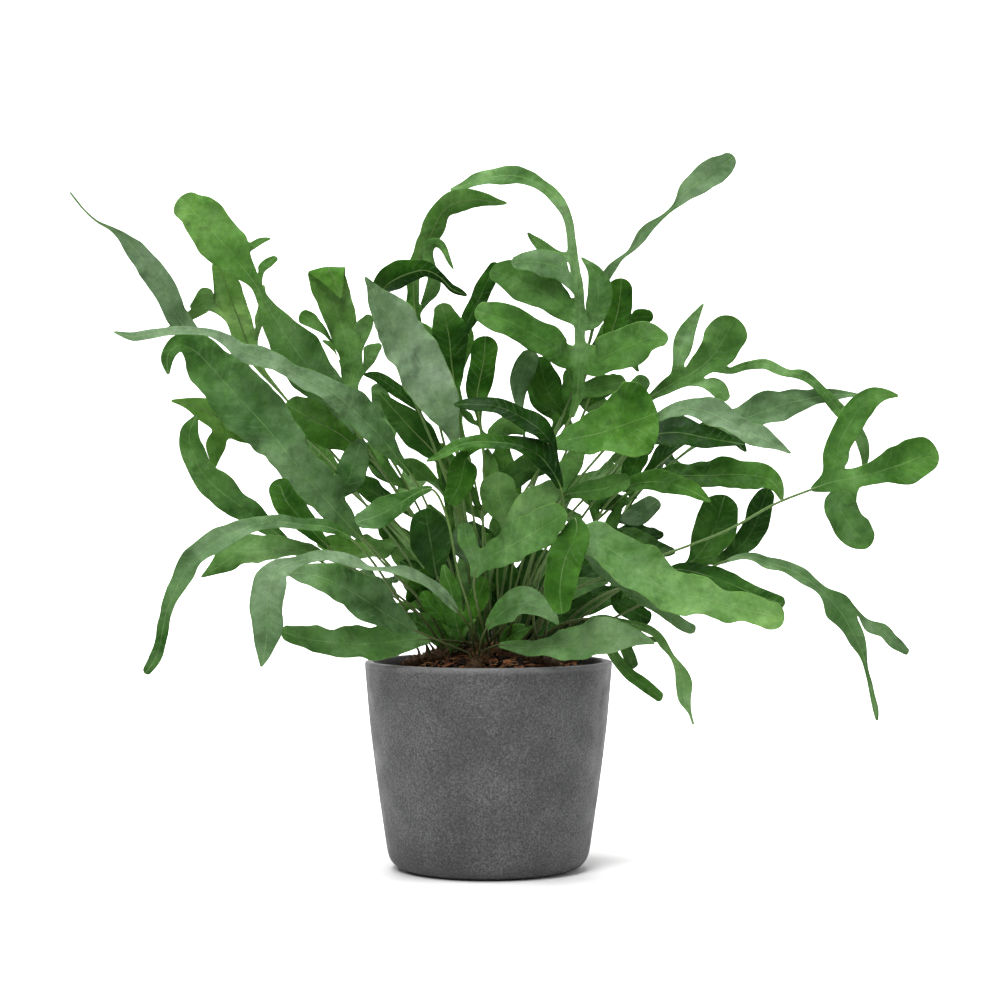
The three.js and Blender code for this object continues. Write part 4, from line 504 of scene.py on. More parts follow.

# A frond is its name, its foot as arm and place on it, the points of its stipe, those of its blade, the ways
# its face looks, its shades and its lobes, each list from base to tip. Points are (side, up, depth, half width)
# in a level front view, the eye two metres away and the floor at 7. Shades are (wax, light) from 0 to 1: how
# grey-blue and how light. The light is partly painted shade: fronds that lie in the shade of others are given
# darker light values. A lobe is (place along the blade's points, half root, points) or (place, half root,
# side that it slants to, reach, half width). A place under 0 lies on the stipe.
FRONDS = [
    # Left, high.
    ("left_spear", (2, 5), [(-40, 235, 22), (-120, 318, 40), (-190, 388, 46)], [(-228, 424, 46, 3),
     (-241, 438, 46, 8), (-250, 450, 44, 9), (-254, 461, 42, 9.5), (-260, 472, 40, 10.5), (-268, 483, 37, 9.5),
     (-276, 494, 34, 8.5), (-286, 505, 31, 7), (-294, 513, 29, 4), (-302, 519, 28, 1.7), (-311, 523, 26, 1),
     (-321, 531, 25, 0.9), (-335, 548, 24, 0.7)], [(-0.2, -1, 0.5), (-0.3, -1, 0.3), (0.2, -1, 0.2)],
     [(0.85, 0.47), (0.95, 0.53), (0.9, 0.45)], []),
    ("left_paddle", (3, 1), [(-30, 240, 0), (-72, 305, -2)], [(-105, 355, -3, 3), (-126, 386, -3, 12),
     (-138, 400, -4, 17), (-148, 413, -5, 19), (-160, 430, -6, 17), (-170, 445, -6, 11), (-180, 462, -6, 5.5),
     (-187, 475, -6, 5), (-198, 489, -8, 12), (-211, 505, -10, 17), (-224, 519, -12, 18), (-234, 530, -14, 16),
     (-240, 536, -15, 13)], [(0.1, -1, 0.5), (-0.5, -1, 0), (0.1, -1, 0.5)], [(0.75, 0.39), (0.5, 0.42),
     (0.2, 0.51), (0.15, 0.64)], [(8.4, 4, [(-191, 503, -3, 3), (-183, 509, 0, 3), (-174, 511, 2, 0.9)]), (7,
     4, [(-182, 486, -4, 4), (-176, 491, -2, 4), (-171, 495, 0, 2.6)])]),
    ("left_back", (2, 4), [(-40, 240, 42), (-110, 322, 58), (-165, 386, 62)], [(-186, 412, 62, 4),
     (-194, 430, 62, 9), (-200, 447, 62, 10), (-206, 462, 62, 12), (-211, 477, 62, 10), (-216, 489, 62, 6)],
     [(-0.4, 1, 0.5), (-0.2, 1, 0.4)], [(0.25, 0.72), (0.2, 0.86), (0.2, 0.78)], [(-2.3, 4, [(-45, 234, 36, 5),
     (-54, 236, 32, 8), (-64, 239, 30, 8), (-73, 244, 30, 4)]), (2.8, 12, [(-221, 464, 60, 11.5),
     (-229, 460, 58, 7.5), (-237, 456, 56, 2.4)]), (1, 5, [(-185, 440, 64, 4.5), (-181, 453, 65, 4),
     (-180, 465, 66, 2.5), (-180, 474, 66, 1)])]),
    ("grey_ribbon", (3, 2), [(-25, 230, -24), (-46, 290, -35)], [(-62, 322, -42, 2.5), (-72, 334, -45, 4.5),
     (-84, 350, -49, 9), (-95, 361, -53, 13), (-110, 375, -57, 13), (-124, 387, -61, 10), (-140, 395, -64, 9),
     (-155, 402, -67, 6.5), (-170, 411, -70, 7), (-186, 416, -73, 9), (-198, 421, -75, 8), (-210, 429, -77, 5),
     (-222, 435, -79, 3.5), (-240, 437, -81, 3.5), (-258, 436, -82, 3.5), (-272, 434, -83, 4),
     (-285, 432, -84, 3.5), (-300, 436.5, -85, 0.7)], [(0.2, -1, 0.4), (0.1, -0.9, 0.6), (0, -1, 0.5)],
     [(0.5, 0.3), (0.9, 0.5), (1, 0.6), (0.9, 0.55)], []),
    ("left_broad", (3, 4), [(-55, 222, -30), (-85, 252, -38)], [(-102, 271, -42, 3), (-113, 283, -43, 7),
     (-125, 296, -44, 12), (-140, 313, -45, 17), (-155, 331, -46, 16), (-168, 348, -46, 18),
     (-180, 362, -45, 22), (-195, 378, -44, 23), (-210, 394, -43, 22), (-224, 410, -43, 18),
     (-237, 422, -45, 12), (-249, 425, -50, 8), (-257, 416, -55, 6), (-256, 402, -57, 0.9)], [(0.3, -1, 0.3),
     (0.2, -1, 0.4), (0, -0.9, 0.6)], [(0.6, 0.4), (0.75, 0.5), (0.55, 0.42), (0.35, 0.45)], [(2.4, 9,
     [(-114, 313, -38, 11), (-109, 327, -34, 12), (-105, 340, -30, 9.5), (-103, 346, -28, 6)])]),
    ("left_bright", (2, 6), [(-80, 250, 14), (-140, 312, 18)], [(-178, 345, 17, 4), (-200, 359, 15, 10),
     (-215, 367, 14, 12), (-228, 374, 13, 9), (-240, 379, 12, 5), (-254, 381, 11, 0.8)], [(-0.3, 1, 0.6),
     (-0.3, 1, 0.4)], [(0, 0.62), (0, 0.76), (0, 0.7)], [(-1.8, 5, [(-104, 264, 22, 5), (-115, 264, 24, 9),
     (-126, 265, 26, 9), (-135, 266, 28, 3)]), (-2.5, 4, [(-65, 218, 28, 4), (-72, 212, 30, 7),
     (-79, 205, 32, 4)]), (1.6, 7, [(-216, 352, 17, 9), (-219, 340, 18, 7), (-219, 327, 20, 0.9)])]),
    ("left_wavy", (3, 6), [(-75, 215, -18), (-130, 250, -20)], [(-162, 270, -21, 3), (-180, 282, -21, 7),
     (-192, 291, -21, 9.5), (-203, 300, -21, 11), (-214, 308, -21, 12), (-225, 318, -21, 12),
     (-233, 331, -21, 9), (-238, 344, -21, 9), (-239, 356, -19, 7.5), (-233, 370, -15, 1)], [(0.2, -1, 0.6),
     (0, -1, 0.3)], [(0.4, 0.35), (0.4, 0.5), (0.3, 0.45)], []),
    ("left_round", (3, 8), [(-85, 226, -46)], [(-128, 264, -58, 3), (-141, 277, -61, 7), (-152, 289, -63, 10),
     (-162, 301, -65, 10.5), (-166, 311, -66, 10)], [(0, -1, 0.6), (0.1, -1, 0.2)], [(0.1, 0.32),
     (0.15, 0.38)], []),
    ("left_low_arch", (3, 7), [(-72, 222, -52)], [(-110, 271, -78, 2.5), (-125, 279, -82, 4),
     (-138, 281, -84, 5), (-151, 282, -85, 5), (-165, 284, -86, 5), (-180, 283, -88, 5.5), (-195, 279, -90, 7),
     (-208, 273, -92, 8), (-220, 267, -93, 9), (-230, 260, -95, 9), (-239, 250, -96, 8.5),
     (-247, 236, -98, 7.5), (-254, 222, -99, 6), (-259, 207, -100, 5), (-262, 190, -101, 5),
     (-266, 175, -102, 5), (-273, 165, -103, 3.8)], [(0, -0.8, 1), (-0.2, -1, 0.5), (-0.3, -1, 0.1)],
     [(0.3, 0.45), (0.75, 0.5), (0.8, 0.5), (0.6, 0.42), (0.5, 0.35)], []),
    ("left_low_green", (3, 5), [(-60, 215, -38), (-95, 240, -46)], [(-130, 255, -52, 4),
     (-148, 261, -54, 6.5), (-165, 263, -55, 8), (-180, 263, -56, 10), (-195, 261, -57, 13),
     (-207, 255, -58, 11), (-218, 247, -60, 5.5), (-230, 240, -62, 0.8)], [(0, -0.7, 1), (-0.2, -1, 0.7)],
     [(0.3, 0.5), (0.35, 0.6), (0.3, 0.55)], []),
    ("left_hanging", (4, 5), [], [(-24, 212, -82, 2), (-31, 220, -87, 3.5), (-39, 228, -92, 4.5),
     (-49, 235, -98, 5), (-61, 241, -104, 5), (-73, 245, -109, 3.7), (-86, 246, -114, 2.4),
     (-97, 247, -119, 2.8), (-108, 252, -124, 4.5), (-122, 256, -130, 5), (-137, 256, -136, 4.5),
     (-150, 253, -141, 4.3), (-160, 250, -145, 6.5), (-168, 246, -148, 9.5), (-173, 238, -151, 13),
     (-176, 225, -153, 14), (-177, 210, -154, 13), (-177, 196, -155, 11.5), (-179, 182, -156, 7.5),
     (-182, 168, -157, 0.8)], [(0, -1, 0.7), (-0.1, -0.6, 1), (-0.2, -1, 0.5), (-0.1, -1, 0.1)], [(0.9, 0.6),
     (0.95, 0.6), (0.8, 0.55)], []),
    ("left_dark", (4, 8), [], [(-56, 196, -78, 3.5), (-66, 201, -82, 7), (-77, 207, -86, 12),
     (-89, 215, -90, 16), (-101, 223, -94, 17), (-115, 231, -98, 15), (-130, 238, -102, 12),
     (-144, 242, -106, 9), (-155, 243, -109, 5), (-162, 243, -111, 1)], [(-0.1, -0.8, 0.8), (-0.2, -1, 0.6)],
     [(0.7, 0.4), (0.75, 0.35), (0.7, 0.3), (0.5, 0.5), (0.9, 0.6)], []),
    ("left_rim", (4, 2), [], [(-46, 190, -56, 2.5), (-60, 190, -61, 8), (-76, 188, -67, 13),
     (-91, 187, -73, 14), (-106, 186, -79, 13), (-120, 187, -85, 11), (-135, 189, -91, 10),
     (-150, 191, -97, 9), (-161, 195, -102, 6.5)], [(0, -0.8, 0.8), (-0.2, -1, 0.5)], [(0.4, 0.76),
     (0.35, 0.56), (0.5, 0.66), (0.4, 0.55)], []),
    # Middle, left of the axis.
    ("folded_tip", (2, 1), [(-35, 250, 18), (-75, 330, 25)], [(-103, 372, 26, 3), (-110, 392, 26, 6),
     (-110, 410, 26, 9), (-113, 427, 26, 10), (-118, 442, 26, 12), (-123, 457, 25, 14), (-127, 470, 22, 14),
     (-129, 483, 18, 15), (-129, 489, 14, 15), (-128, 487, 9, 13.5), (-125, 480, 7, 10), (-121, 471, 7, 5),
     (-118, 463, 8, 0.8)], [(-0.2, -1, 0.3), (-0.1, -1, 0.3), (0, -1, 0.35), (0.1, -1, 0.4), (0.1, -1, 0.4),
     (0.1, -1, 0.4), (0.1, -1, 0.4), (0.1, -1, 0.3), (0.1, -1, 0.1), (0, -0.8, -0.5), (0, 0.8, -0.7),
     (0, 1, 0), (0.1, 1, 0.2)], [(0.4, 0.48), (0.3, 0.63), (0.15, 0.64), (0.05, 0.66)], [(-0.7, 5,
     [(-79, 352, 33, 5), (-80, 364, 37, 8), (-84, 378, 39, 9), (-89, 391, 40, 5)]), (-1.2, 5,
     [(-78, 320, 30, 6), (-86, 327, 34, 9), (-92, 337, 37, 8), (-96, 345, 38, 4)]), (3, 5, [(-127, 436, 24, 5),
     (-138, 443, 23, 6.5), (-147, 448, 22, 6)]), (1.9, 5, [(-122, 418, 22, 4.5), (-128, 424, 20, 5),
     (-134, 429, 18, 1.5)]), (2.8, 5, [(-102, 434, 22, 7.5), (-98, 442, 20, 7), (-96, 447, 18, 4)]), (1.6, 6,
     [(-99, 414, 24, 8), (-92, 421, 22, 7), (-88, 424, 20, 4)])]),
    ("big_grey", (3, 0), [(-12, 250, -20), (-22, 312, -36)], [(-26, 345, -43, 2.5), (-32, 365, -47, 10),
     (-42, 384, -51, 17), (-51, 402, -55, 20), (-60, 418, -60, 19.5), (-70, 433, -66, 19), (-80, 449, -73, 16),
     (-88, 461, -79, 11), (-94, 472, -84, 4), (-99, 480, -88, 0.9)], [(0.2, -1, 0.2), (0.1, -1, 0.4),
     (0, -1, 0.8)], [(0.8, 0.52), (0.95, 0.61), (0.9, 0.57), (0.85, 0.52)], [(-2, 4, [(-18, 257, -26, 4),
     (-23, 265, -31, 9), (-20, 277, -34, 8)])]),
    ("dark_pair", (2, 2), [(-18, 262, 2)], [(-38, 333, -5, 4), (-48, 345, -6, 10), (-60, 357, -7, 13),
     (-70, 368, -8, 11), (-80, 379, -9, 6), (-87, 387, -9, 1.2)], [(-0.3, 0.6, 0.8), (-0.3, 0.8, 0.6)],
     [(0.35, 0.3), (0.45, 0.35)], [(-0.8, 4, [(-33, 268, -9, 6), (-44, 270, -12, 11), (-53, 278, -13, 10)]),
     (2.3, 5, [(-57, 374, -14, 4), (-66, 383, -16, 5), (-77, 392, -17, 5.5), (-89, 400, -18, 4.5),
     (-100, 402, -19, 1)])]),
    ("dark_tongue", (1, 1), [(-8, 260, 12), (-20, 340, 15)], [(-26, 386, 15, 3), (-28, 401, 15, 7),
     (-30, 416, 15, 12), (-31, 430, 15, 15), (-34, 444, 14, 12), (-36, 453, 13, 8)], [(0.2, 0.8, 0.5),
     (0, 1, 0.3)], [(0.4, 0.45), (0.1, 0.2), (0, 0.12), (0.4, 0.55)], [(-1.3, 4, [(-6, 295, 21, 3),
     (1, 306, 25, 6), (2, 318, 28, 7), (1, 330, 30, 6), (-1, 340, 31, 3)]), (3.5, 6, [(-18, 441, 22, 5.5),
     (-12, 453, 25, 7), (-6, 465, 28, 7.5), (0, 478, 30, 6.5), (5, 488, 31, 5)])]),
    ("bright_round", (1, 0), [(-4, 260, 4), (-4, 340, 2)], [(-8, 372, 0, 3), (-9, 385, -2, 9),
     (-7, 398, -4, 11), (-4, 411, -6, 11.5), (-3, 424, -7, 11)], [(0.1, 0.8, 0.6), (0, 1, 0.3)], [(0.5, 0.4),
     (0, 0.25), (0, 0.35)], [(-0.35, 4, [(-11, 359, 2, 4), (-17, 364, 2, 7), (-22, 370, 2, 6),
     (-26, 376, 2, 2.5)]), (-0.6, 4, [(0, 350, 8, 4), (9, 359, 12, 7.5), (19, 362, 14, 8), (27, 357, 14, 4)]),
     (-1.6, 4, [(9, 311, 8, 7), (23, 321, 10, 11), (36, 328, 11, 11), (47, 331, 12, 7)])]),
    ("dark_arch", (2, 0), [(-16, 260, -10), (-42, 340, -23), (-70, 405, -25)], [(-88, 450, -25, 3),
     (-89, 464, -25, 5.5), (-82, 474, -25, 8), (-72, 480, -25, 9), (-61, 484, -25, 8.5), (-51, 486, -24, 7),
     (-43, 483, -23, 4.5), (-36, 478, -22, 2.7), (-29, 470, -21, 2.7), (-23, 468, -20, 3),
     (-17, 465, -20, 0.8)], [(-0.8, -0.2, 0.4), (-0.2, 0.8, 0.6), (0.4, 0.7, 0.5)], [(0.3, 0.38), (0.05, 0.11),
     (0.1, 0.15)], []),
    ("top_arch", (1, 2), [(-15, 270, 26), (-42, 372, 34)], [(-55, 432, 36, 2.5), (-59, 452, 36, 5),
     (-60, 470, 36, 5), (-59, 485, 36, 5), (-54, 499, 35, 5.5), (-48, 510, 34, 7), (-43, 521, 33, 8.5),
     (-38, 531, 32, 9), (-30, 538, 31, 9), (-19, 541, 30, 8), (-7, 542, 29, 6), (4, 540, 28, 4),
     (15, 539, 27, 0.8)], [(-0.5, 0.8, 0.2), (-0.6, 0.8, 0.3), (0, 0.8, 0.8)], [(0.5, 0.38), (0.4, 0.47),
     (0.25, 0.66), (0.3, 0.61), (0.4, 0.52), (0.4, 0.61)], [(-1.3, 4, [(-31, 262, 34, 5), (-36, 274, 38, 8),
     (-42, 286, 40, 8), (-47, 296, 41, 3)]), (1.1, 4, [(-47, 464, 22, 5), (-43, 477, 16, 5.5),
     (-46, 490, 13, 4.5), (-49, 500, 12, 4.5), (-45, 507, 11, 4.5), (-39, 507, 10, 4), (-35, 501, 9, 2.5),
     (-32, 494, 9, 2), (-28, 486, 8, 0.8)])]),
    # Middle, right of the axis.
    ("arching_crown", (0, 0), [(10, 270, -4), (46, 335, -8)], [(66, 368, -9, 2.5), (71, 385, -9, 3.5),
     (72, 400, -9, 4.4), (73, 415, -9, 4.4), (73, 430, -9, 4.2), (73, 445, -9, 4.2), (73, 460, -9, 3.8),
     (71, 475, -9, 4.2), (69, 488, -9, 4.4), (67, 500, -9, 3.7), (66, 512, -9, 3.5), (64, 525, -9, 4),
     (59, 536, -9, 4.5), (52, 545, -9, 5), (43, 553, -9, 5.5), (32, 558, -9, 6.5), (20, 561, -9, 7.5),
     (8, 560.5, -9, 7.5), (-5, 558, -9, 6.5), (-17, 554, -9, 4), (-31, 550, -9, 0.8)], [(-0.1, -1, 0.3),
     (0.1, -1, 0.3), (0.3, -1, 0.4), (0.1, -0.8, 0.8)], [(0.4, 0.57), (0.55, 0.61), (0.45, 0.65)], [(3, 8,
     [(60, 417, -14, 11), (46, 428, -20, 13), (31, 437, -25, 13.5), (15, 445, -29, 12.5), (2, 449, -32, 11),
     (-5, 451, -33, 8)]), (5.5, 7, [(60, 456, -4, 11), (46, 466, 0, 14.5), (31, 474, 3, 15),
     (17, 480, 5, 12.5), (8, 483, 6, 9)]), (7, 7, [(58, 486, -13, 9), (44, 491, -17, 11), (31, 492, -20, 9.5),
     (23, 491, -22, 6)]), (8.7, 4, [(57, 497, -7, 3.5), (48, 501, -6, 4.5), (39, 507, -5, 4.5),
     (31, 516, -4, 0.9)]), (5, 5, [(81, 441, -11, 7), (87, 456, -13, 10), (88, 471, -14, 9.5),
     (84, 485, -14, 5.5), (74, 496, -14, 0.8)]), (3, 8, [(86, 413, -16, 13), (101, 420, -21, 16),
     (116, 426, -26, 16), (130, 431, -30, 13), (139, 430, -33, 6)]), (1.3, 6, [(83, 391, -2, 8),
     (95, 393, 2, 9), (105, 395, 4, 7)])]),
    ("right_spear", (0, 1), [(25, 280, 20), (60, 370, 28), (80, 425, 30)], [(86, 452, 30, 2),
     (88, 467, 30, 3), (93, 479, 30, 4), (100, 489, 30, 3.5), (107, 496, 30, 1.8), (113, 500, 30, 1.7),
     (118, 506, 30, 3.5), (123, 514, 30, 5), (130, 521, 30, 4), (138, 527, 30, 1.9), (145, 533, 30, 1.6),
     (150, 537.5, 30, 2.5), (160, 549, 30, 9), (172, 558, 30, 11), (184, 567, 30, 10.5), (192, 573, 30, 7.5)],
     [(0.2, -1, 0.3), (0.4, -0.8, 0.4), (0.3, -1, 0.3)], [(0.7, 0.44), (0.75, 0.54), (0.85, 0.58)], [(-2.5, 3,
     [(32, 340, 25, 1.4), (26, 370, 27, 2), (24, 388, 28, 6), (27, 402, 30, 10), (33, 415, 30, 8)])]),
    ("bright_block", (1, 4), [(40, 290, 45), (80, 380, 53)], [(95, 422, 56, 3), (99, 437, 56, 8),
     (103, 450, 56, 10), (105, 462, 56, 9.5), (106, 472, 55, 9)], [(0.2, 1, 0.5), (0.1, 1, 0.3)],
     [(0.05, 0.34), (0, 0.42), (0, 0.37)], [(-1.3, 4, [(59, 373, 49, 4), (48, 386, 46, 10), (44, 400, 44, 12),
     (42, 410, 43, 8)]), (-1, 4, [(87, 384, 50, 6), (94, 392, 49, 8), (101, 397, 48, 6)]), (1.4, 5,
     [(112, 444, 57, 6), (121, 448, 57, 6.5), (128, 448, 57, 5)])]),
    ("right_fan", (0, 2), [(45, 280, 8), (95, 345, 10)], [(130, 384, 10, 3), (142, 391, 10, 6),
     (152, 397, 10, 7), (163, 403, 10, 8.5), (174, 411, 9, 11.5), (183, 421, 8, 14.5), (189, 432, 7, 16),
     (192, 437, 6, 15)], [(0, -1, 0.5), (0.2, -1, 0.3)], [(0.4, 0.5), (0.4, 0.5), (0.3, 0.55)], [(-1.5, 4,
     [(80, 304, 2, 5), (90, 301, -2, 8), (101, 300, -4, 8), (110, 301, -5, 4)]), (-0.4, 4, [(112, 377, 22, 5),
     (117, 388, 25, 8), (123, 396, 26, 7)]), (-1.7, 4, [(58, 314, 16, 7), (65, 327, 18, 9), (71, 340, 19, 7)]),
     (2.3, 4, [(152, 411, 15, 4.5), (154, 421, 18, 7.5), (158, 434, 20, 8), (164, 446, 22, 4.5),
     (172, 459, 24, 0.8)]), (2.9, 5, [(174, 396, 3, 6.5), (183, 391, -1, 8), (189, 384, -4, 4.5)]), (4.3, 3,
     [(192, 404, 2, 3.5), (203, 408, -4, 3.5), (213, 410, -10, 3.5), (222, 410, -16, 5), (231, 406, -21, 4.5),
     (240, 403, -25, 3.3), (250, 402, -29, 4.5), (258, 397, -32, 3.8), (265, 391, -34, 4),
     (271, 385, -36, 4.5), (277, 378, -37, 5.5), (284, 369, -38, 6), (294, 358, -38, 5), (300, 346, -38, 5),
     (301, 334, -38, 3.5), (300, 327, -38, 1)])]),
    ("right_mid", (0, 4), [(72, 258, 2), (128, 316, -1), (155, 338, -4)], [(172, 350, -7, 3.5),
     (185, 358, -9, 8), (198, 364, -11, 11), (212, 369, -13, 12.5), (226, 374, -14, 12.5),
     (240, 379, -15, 10.5), (255, 382, -16, 8), (270, 385, -17, 5), (284, 386, -18, 3.5),
     (297, 386, -19, 0.8)], [(0, -0.8, 0.8), (0.2, -1, 0.5)], [(0.85, 0.36), (0.8, 0.38), (0.75, 0.45)],
     [(-2.5, 4, [(112, 286, 6, 6), (122, 290, 8, 9), (132, 298, 9, 7)])]),
    # Right, high and low.
    ("right_grey", (5, 3), [(58, 262, -50), (102, 325, -74)], [(128, 361, -98, 2.5), (143, 371, -104, 4.5),
     (155, 375, -108, 7), (167, 374, -112, 9.5), (180, 370, -116, 11), (192, 364, -120, 11),
     (205, 357, -124, 9), (218, 351, -128, 8), (230, 346, -131, 5), (242, 339, -134, 0.8)], [(0, -0.8, 0.8),
     (0.2, -1, 0.5)], [(0.8, 0.44), (1, 0.53), (0.9, 0.47)], []),
    # This frond lies in the shade of others; its near-black light values are painted shade.
    ("right_shaded", (5, 1), [(50, 270, -26), (95, 322, -36)], [(122, 349, -42, 5), (140, 355, -44, 11),
     (155, 355, -46, 13), (170, 352, -48, 10), (187, 349, -50, 6), (205, 346, -52, 0.8)], [(0, -0.7, 0.9),
     (0.2, -1, 0.5)], [(0, 0), (0, 0.03)], []),
    ("right_big", (5, 0), [(15, 250, -40), (35, 310, -62)], [(50, 345, -76, 4), (62, 349, -81, 9),
     (76, 352, -87, 13), (90, 355, -93, 19), (104, 360, -99, 25), (116, 364, -104, 30), (124, 367, -107, 31)],
     [(0, -0.9, 0.7), (0.1, -1, 0.4)], [(0.4, 0.49), (0.2, 0.42), (0.1, 0.4)], []),
    ("right_branch", (5, 4), [(60, 225, -60), (130, 254, -76), (192, 278, -84), (230, 299, -87)],
     [(258, 310, -88, 2), (266, 313, -88, 6), (275, 316, -88, 8), (290, 319, -88, 8), (305, 322, -88, 8.5),
     (318, 326, -88, 12), (330, 330, -88, 16), (341, 334, -88, 17), (348, 337, -88, 15)], [(0, -1, 0.5),
     (0.2, -1, 0.3)], [(0.35, 0.37), (0.3, 0.41), (0.15, 0.51)], [(2.2, 8, [(278, 333, -85, 11),
     (280, 346, -83, 10), (288, 361, -81, 10), (296, 374, -79, 10), (306, 383, -77, 8.5), (317, 386, -76, 5),
     (328, 385, -75, 0.9)]), (2.5, 9, [(280, 298, -90, 14), (286, 286, -92, 15.5), (294, 275, -94, 13),
     (299, 270, -95, 10)])]),
    ("right_hook", (0, 3), [(60, 255, -8), (100, 298, -14)], [(130, 318, -19, 4), (145, 320, -21, 7),
     (160, 321, -22, 9), (178, 321, -24, 11.5), (195, 322, -26, 12), (210, 321, -28, 11.5),
     (222, 319, -30, 10), (231, 312, -32, 5.5), (235, 301, -33, 0.9)], [(0, -0.7, 0.9), (0.1, -1, 0.4)],
     [(0.15, 0.31), (0.2, 0.39), (0.2, 0.45)], [(-0.8, 5, [(98, 276, -14, 6), (111, 269, -15, 9),
     (124, 264, -14, 10), (137, 261, -12, 8), (147, 261, -10, 3)]), (-1.3, 4, [(85, 298, -10, 6),
     (93, 307, -8, 9), (104, 313, -7, 8)])]),
    ("right_dark", (0, 6), [(85, 222, -22), (135, 242, -29)], [(161, 251, -33, 3.5), (171, 262, -35, 11),
     (178, 273, -37, 16), (183, 285, -38, 17), (186, 295, -39, 14)], [(0, -1, 0.5), (0, -1, 0.2)],
     [(0.3, 0.34), (0.25, 0.34), (0.15, 0.31)], [(-1.6, 4, [(103, 219, -13, 6), (114, 213, -9, 9),
     (125, 208, -7, 7)]), (0.8, 4, [(190, 256, -28, 5), (204, 267, -24, 9), (213, 281, -22, 10),
     (218, 295, -20, 9.5), (222, 306, -24, 7)])]),
    ("right_pointed", (5, 6), [(60, 238, -40), (84, 283, -54)], [(106, 310, -60, 3.5), (120, 315, -62, 6.5),
     (135, 316, -64, 8.5), (150, 313, -66, 9), (164, 308, -68, 6.5), (178, 300, -70, 0.8)], [(0, -0.8, 0.8),
     (0.2, -1, 0.6)], [(0.1, 0.33), (0.15, 0.42)], []),
    ("right_small", (5, 2), [(26, 228, -48), (42, 275, -64)], [(60, 305, -76, 3), (75, 308, -80, 6.5),
     (90, 310, -84, 8.5), (102, 314, -87, 8.5), (108, 316, -89, 7)], [(0, -0.8, 0.8), (0.2, -1, 0.6)],
     [(0.2, 0.4), (0.3, 0.5)], []),
    ("right_low_big", (5, 7), [(36, 208, -74), (47, 256, -99)], [(66, 272, -110, 5), (79, 271, -114, 12),
     (92, 265, -118, 15.5), (105, 257, -122, 18), (118, 247, -126, 20), (130, 238, -129, 18.5),
     (142, 230, -132, 17), (155, 225, -134, 16), (170, 223, -136, 14.5), (185, 219, -138, 13),
     (200, 215, -140, 12.5), (215, 211, -142, 12), (229, 208, -143, 10)], [(0, -0.9, 0.7), (0.2, -1, 0.7),
     (0.2, -1, 0.5)], [(0.55, 0.53), (0.45, 0.6), (0.3, 0.68), (0.2, 0.74)], [(0.7, 5, [(82, 252, -102, 5),
     (94, 244, -99, 6), (108, 234, -99, 6), (123, 223, -101, 6), (140, 212, -104, 5), (153, 203, -106, 5),
     (162, 198, -108, 4.5)])]),
    ("right_low_dark", (0, 7), [(80, 212, -34), (115, 236, -50)], [(145, 246, -60, 4), (160, 245, -63, 7),
     (175, 241, -66, 8), (190, 236, -69, 8), (204, 230, -72, 7.5), (218, 224, -74, 6.5), (233, 219, -76, 5)],
     [(0, -0.8, 0.8), (0.2, -1, 0.6)], [(0.15, 0.2), (0.3, 0.25)], []),
    ("right_low_arch", (0, 8), [(92, 203, -14), (150, 232, -34)], [(190, 253, -46, 2), (204, 256, -49, 2.5),
     (214, 255, -51, 4), (224, 251, -53, 5.5), (235, 248, -55, 4.5), (247, 243, -57, 5.5),
     (258, 236, -59, 4.5), (268, 228, -61, 5), (276, 219, -63, 9), (284, 209, -65, 10), (290, 198, -66, 9),
     (296, 187, -67, 6.5), (300, 177, -68, 3), (302, 167, -69, 1.6), (305, 156, -69, 2.3),
     (307, 145, -70, 2.1), (310, 133, -70, 2.6), (311, 125, -70, 0.9)], [(0, -0.6, 1), (0.2, -1, 0.4),
     (0.2, -1, 0.1)], [(0.7, 0.53), (0.7, 0.52), (0.6, 0.52), (0.55, 0.55)], [(9, 4, [(297, 206, -61, 4.5),
     (307, 199, -59, 5.5), (316, 197, -58, 5.5), (322, 190, -57, 4.7), (329, 185, -57, 4.7),
     (334, 181, -56, 3.5)])]),
    ("rim_dangle", (5, 5), [(58, 202, -48)], [(80, 207, -62, 2.2), (95, 206, -69, 3), (110, 203, -75, 3.2),
     (123, 200, -79, 3.5), (134, 194, -82, 3), (140, 186, -84, 3.5), (146, 178, -86, 2), (151, 170, -87, 3.5),
     (155, 161, -88, 6), (156, 150, -89, 6.5), (157, 141, -89, 5), (161, 132, -90, 1.4), (164, 122, -90, 0.9)],
     [(0, -0.8, 0.8), (0.2, -1, 0.3)], [(0.3, 0.53), (0.3, 0.62), (0.55, 0.7)], [(0.6, 3, [(89, 196, -80, 3),
     (95, 186, -90, 4), (102, 174, -98, 4.5), (111, 164, -102, 5), (123, 154, -104, 5),
     (136, 144, -106, 4.3)]), (1.7, 3, [(106, 193, -84, 3.5), (109, 184, -91, 5.5), (113, 175, -94, 5.5),
     (115, 170, -96, 4.5)])]),
    # Front.
    ("front_rim", (4, 7), [], [(8, 186, -60, 2.5), (20, 184, -66, 5), (32, 183, -74, 7), (45, 184, -84, 8),
     (58, 185, -94, 11.5), (72, 187, -103, 14), (88, 190, -110, 14), (103, 192, -115, 11.5),
     (118, 191, -118, 7), (133, 187, -120, 0.8)], [(0, -0.8, 0.8), (0.1, -1, 0.5)], [(0.5, 0.52), (0.55, 0.68),
     (0.6, 0.66)], []),
    ("front_two_lobed", (4, 1), [(-8, 213, -86)], [(-12, 239, -95, 3), (-7, 250, -100, 6.5),
     (5, 258, -108, 11), (18, 265, -117, 14.5), (32, 273, -126, 15.5), (46, 281, -134, 14.5),
     (56, 287, -140, 11)], [(0, -1, 0.5), (0.1, -1, 0.5)], [(0.45, 0.5), (0.45, 0.6), (0.4, 0.55)], [(3, 8,
     [(24, 287, -112, 11), (34, 297, -108, 11.5), (45, 306, -104, 10.5), (51, 311, -101, 8.5)]), (1, 5,
     [(-14, 262, -97, 6), (-18, 271, -94, 8), (-19, 278, -92, 7)])]),
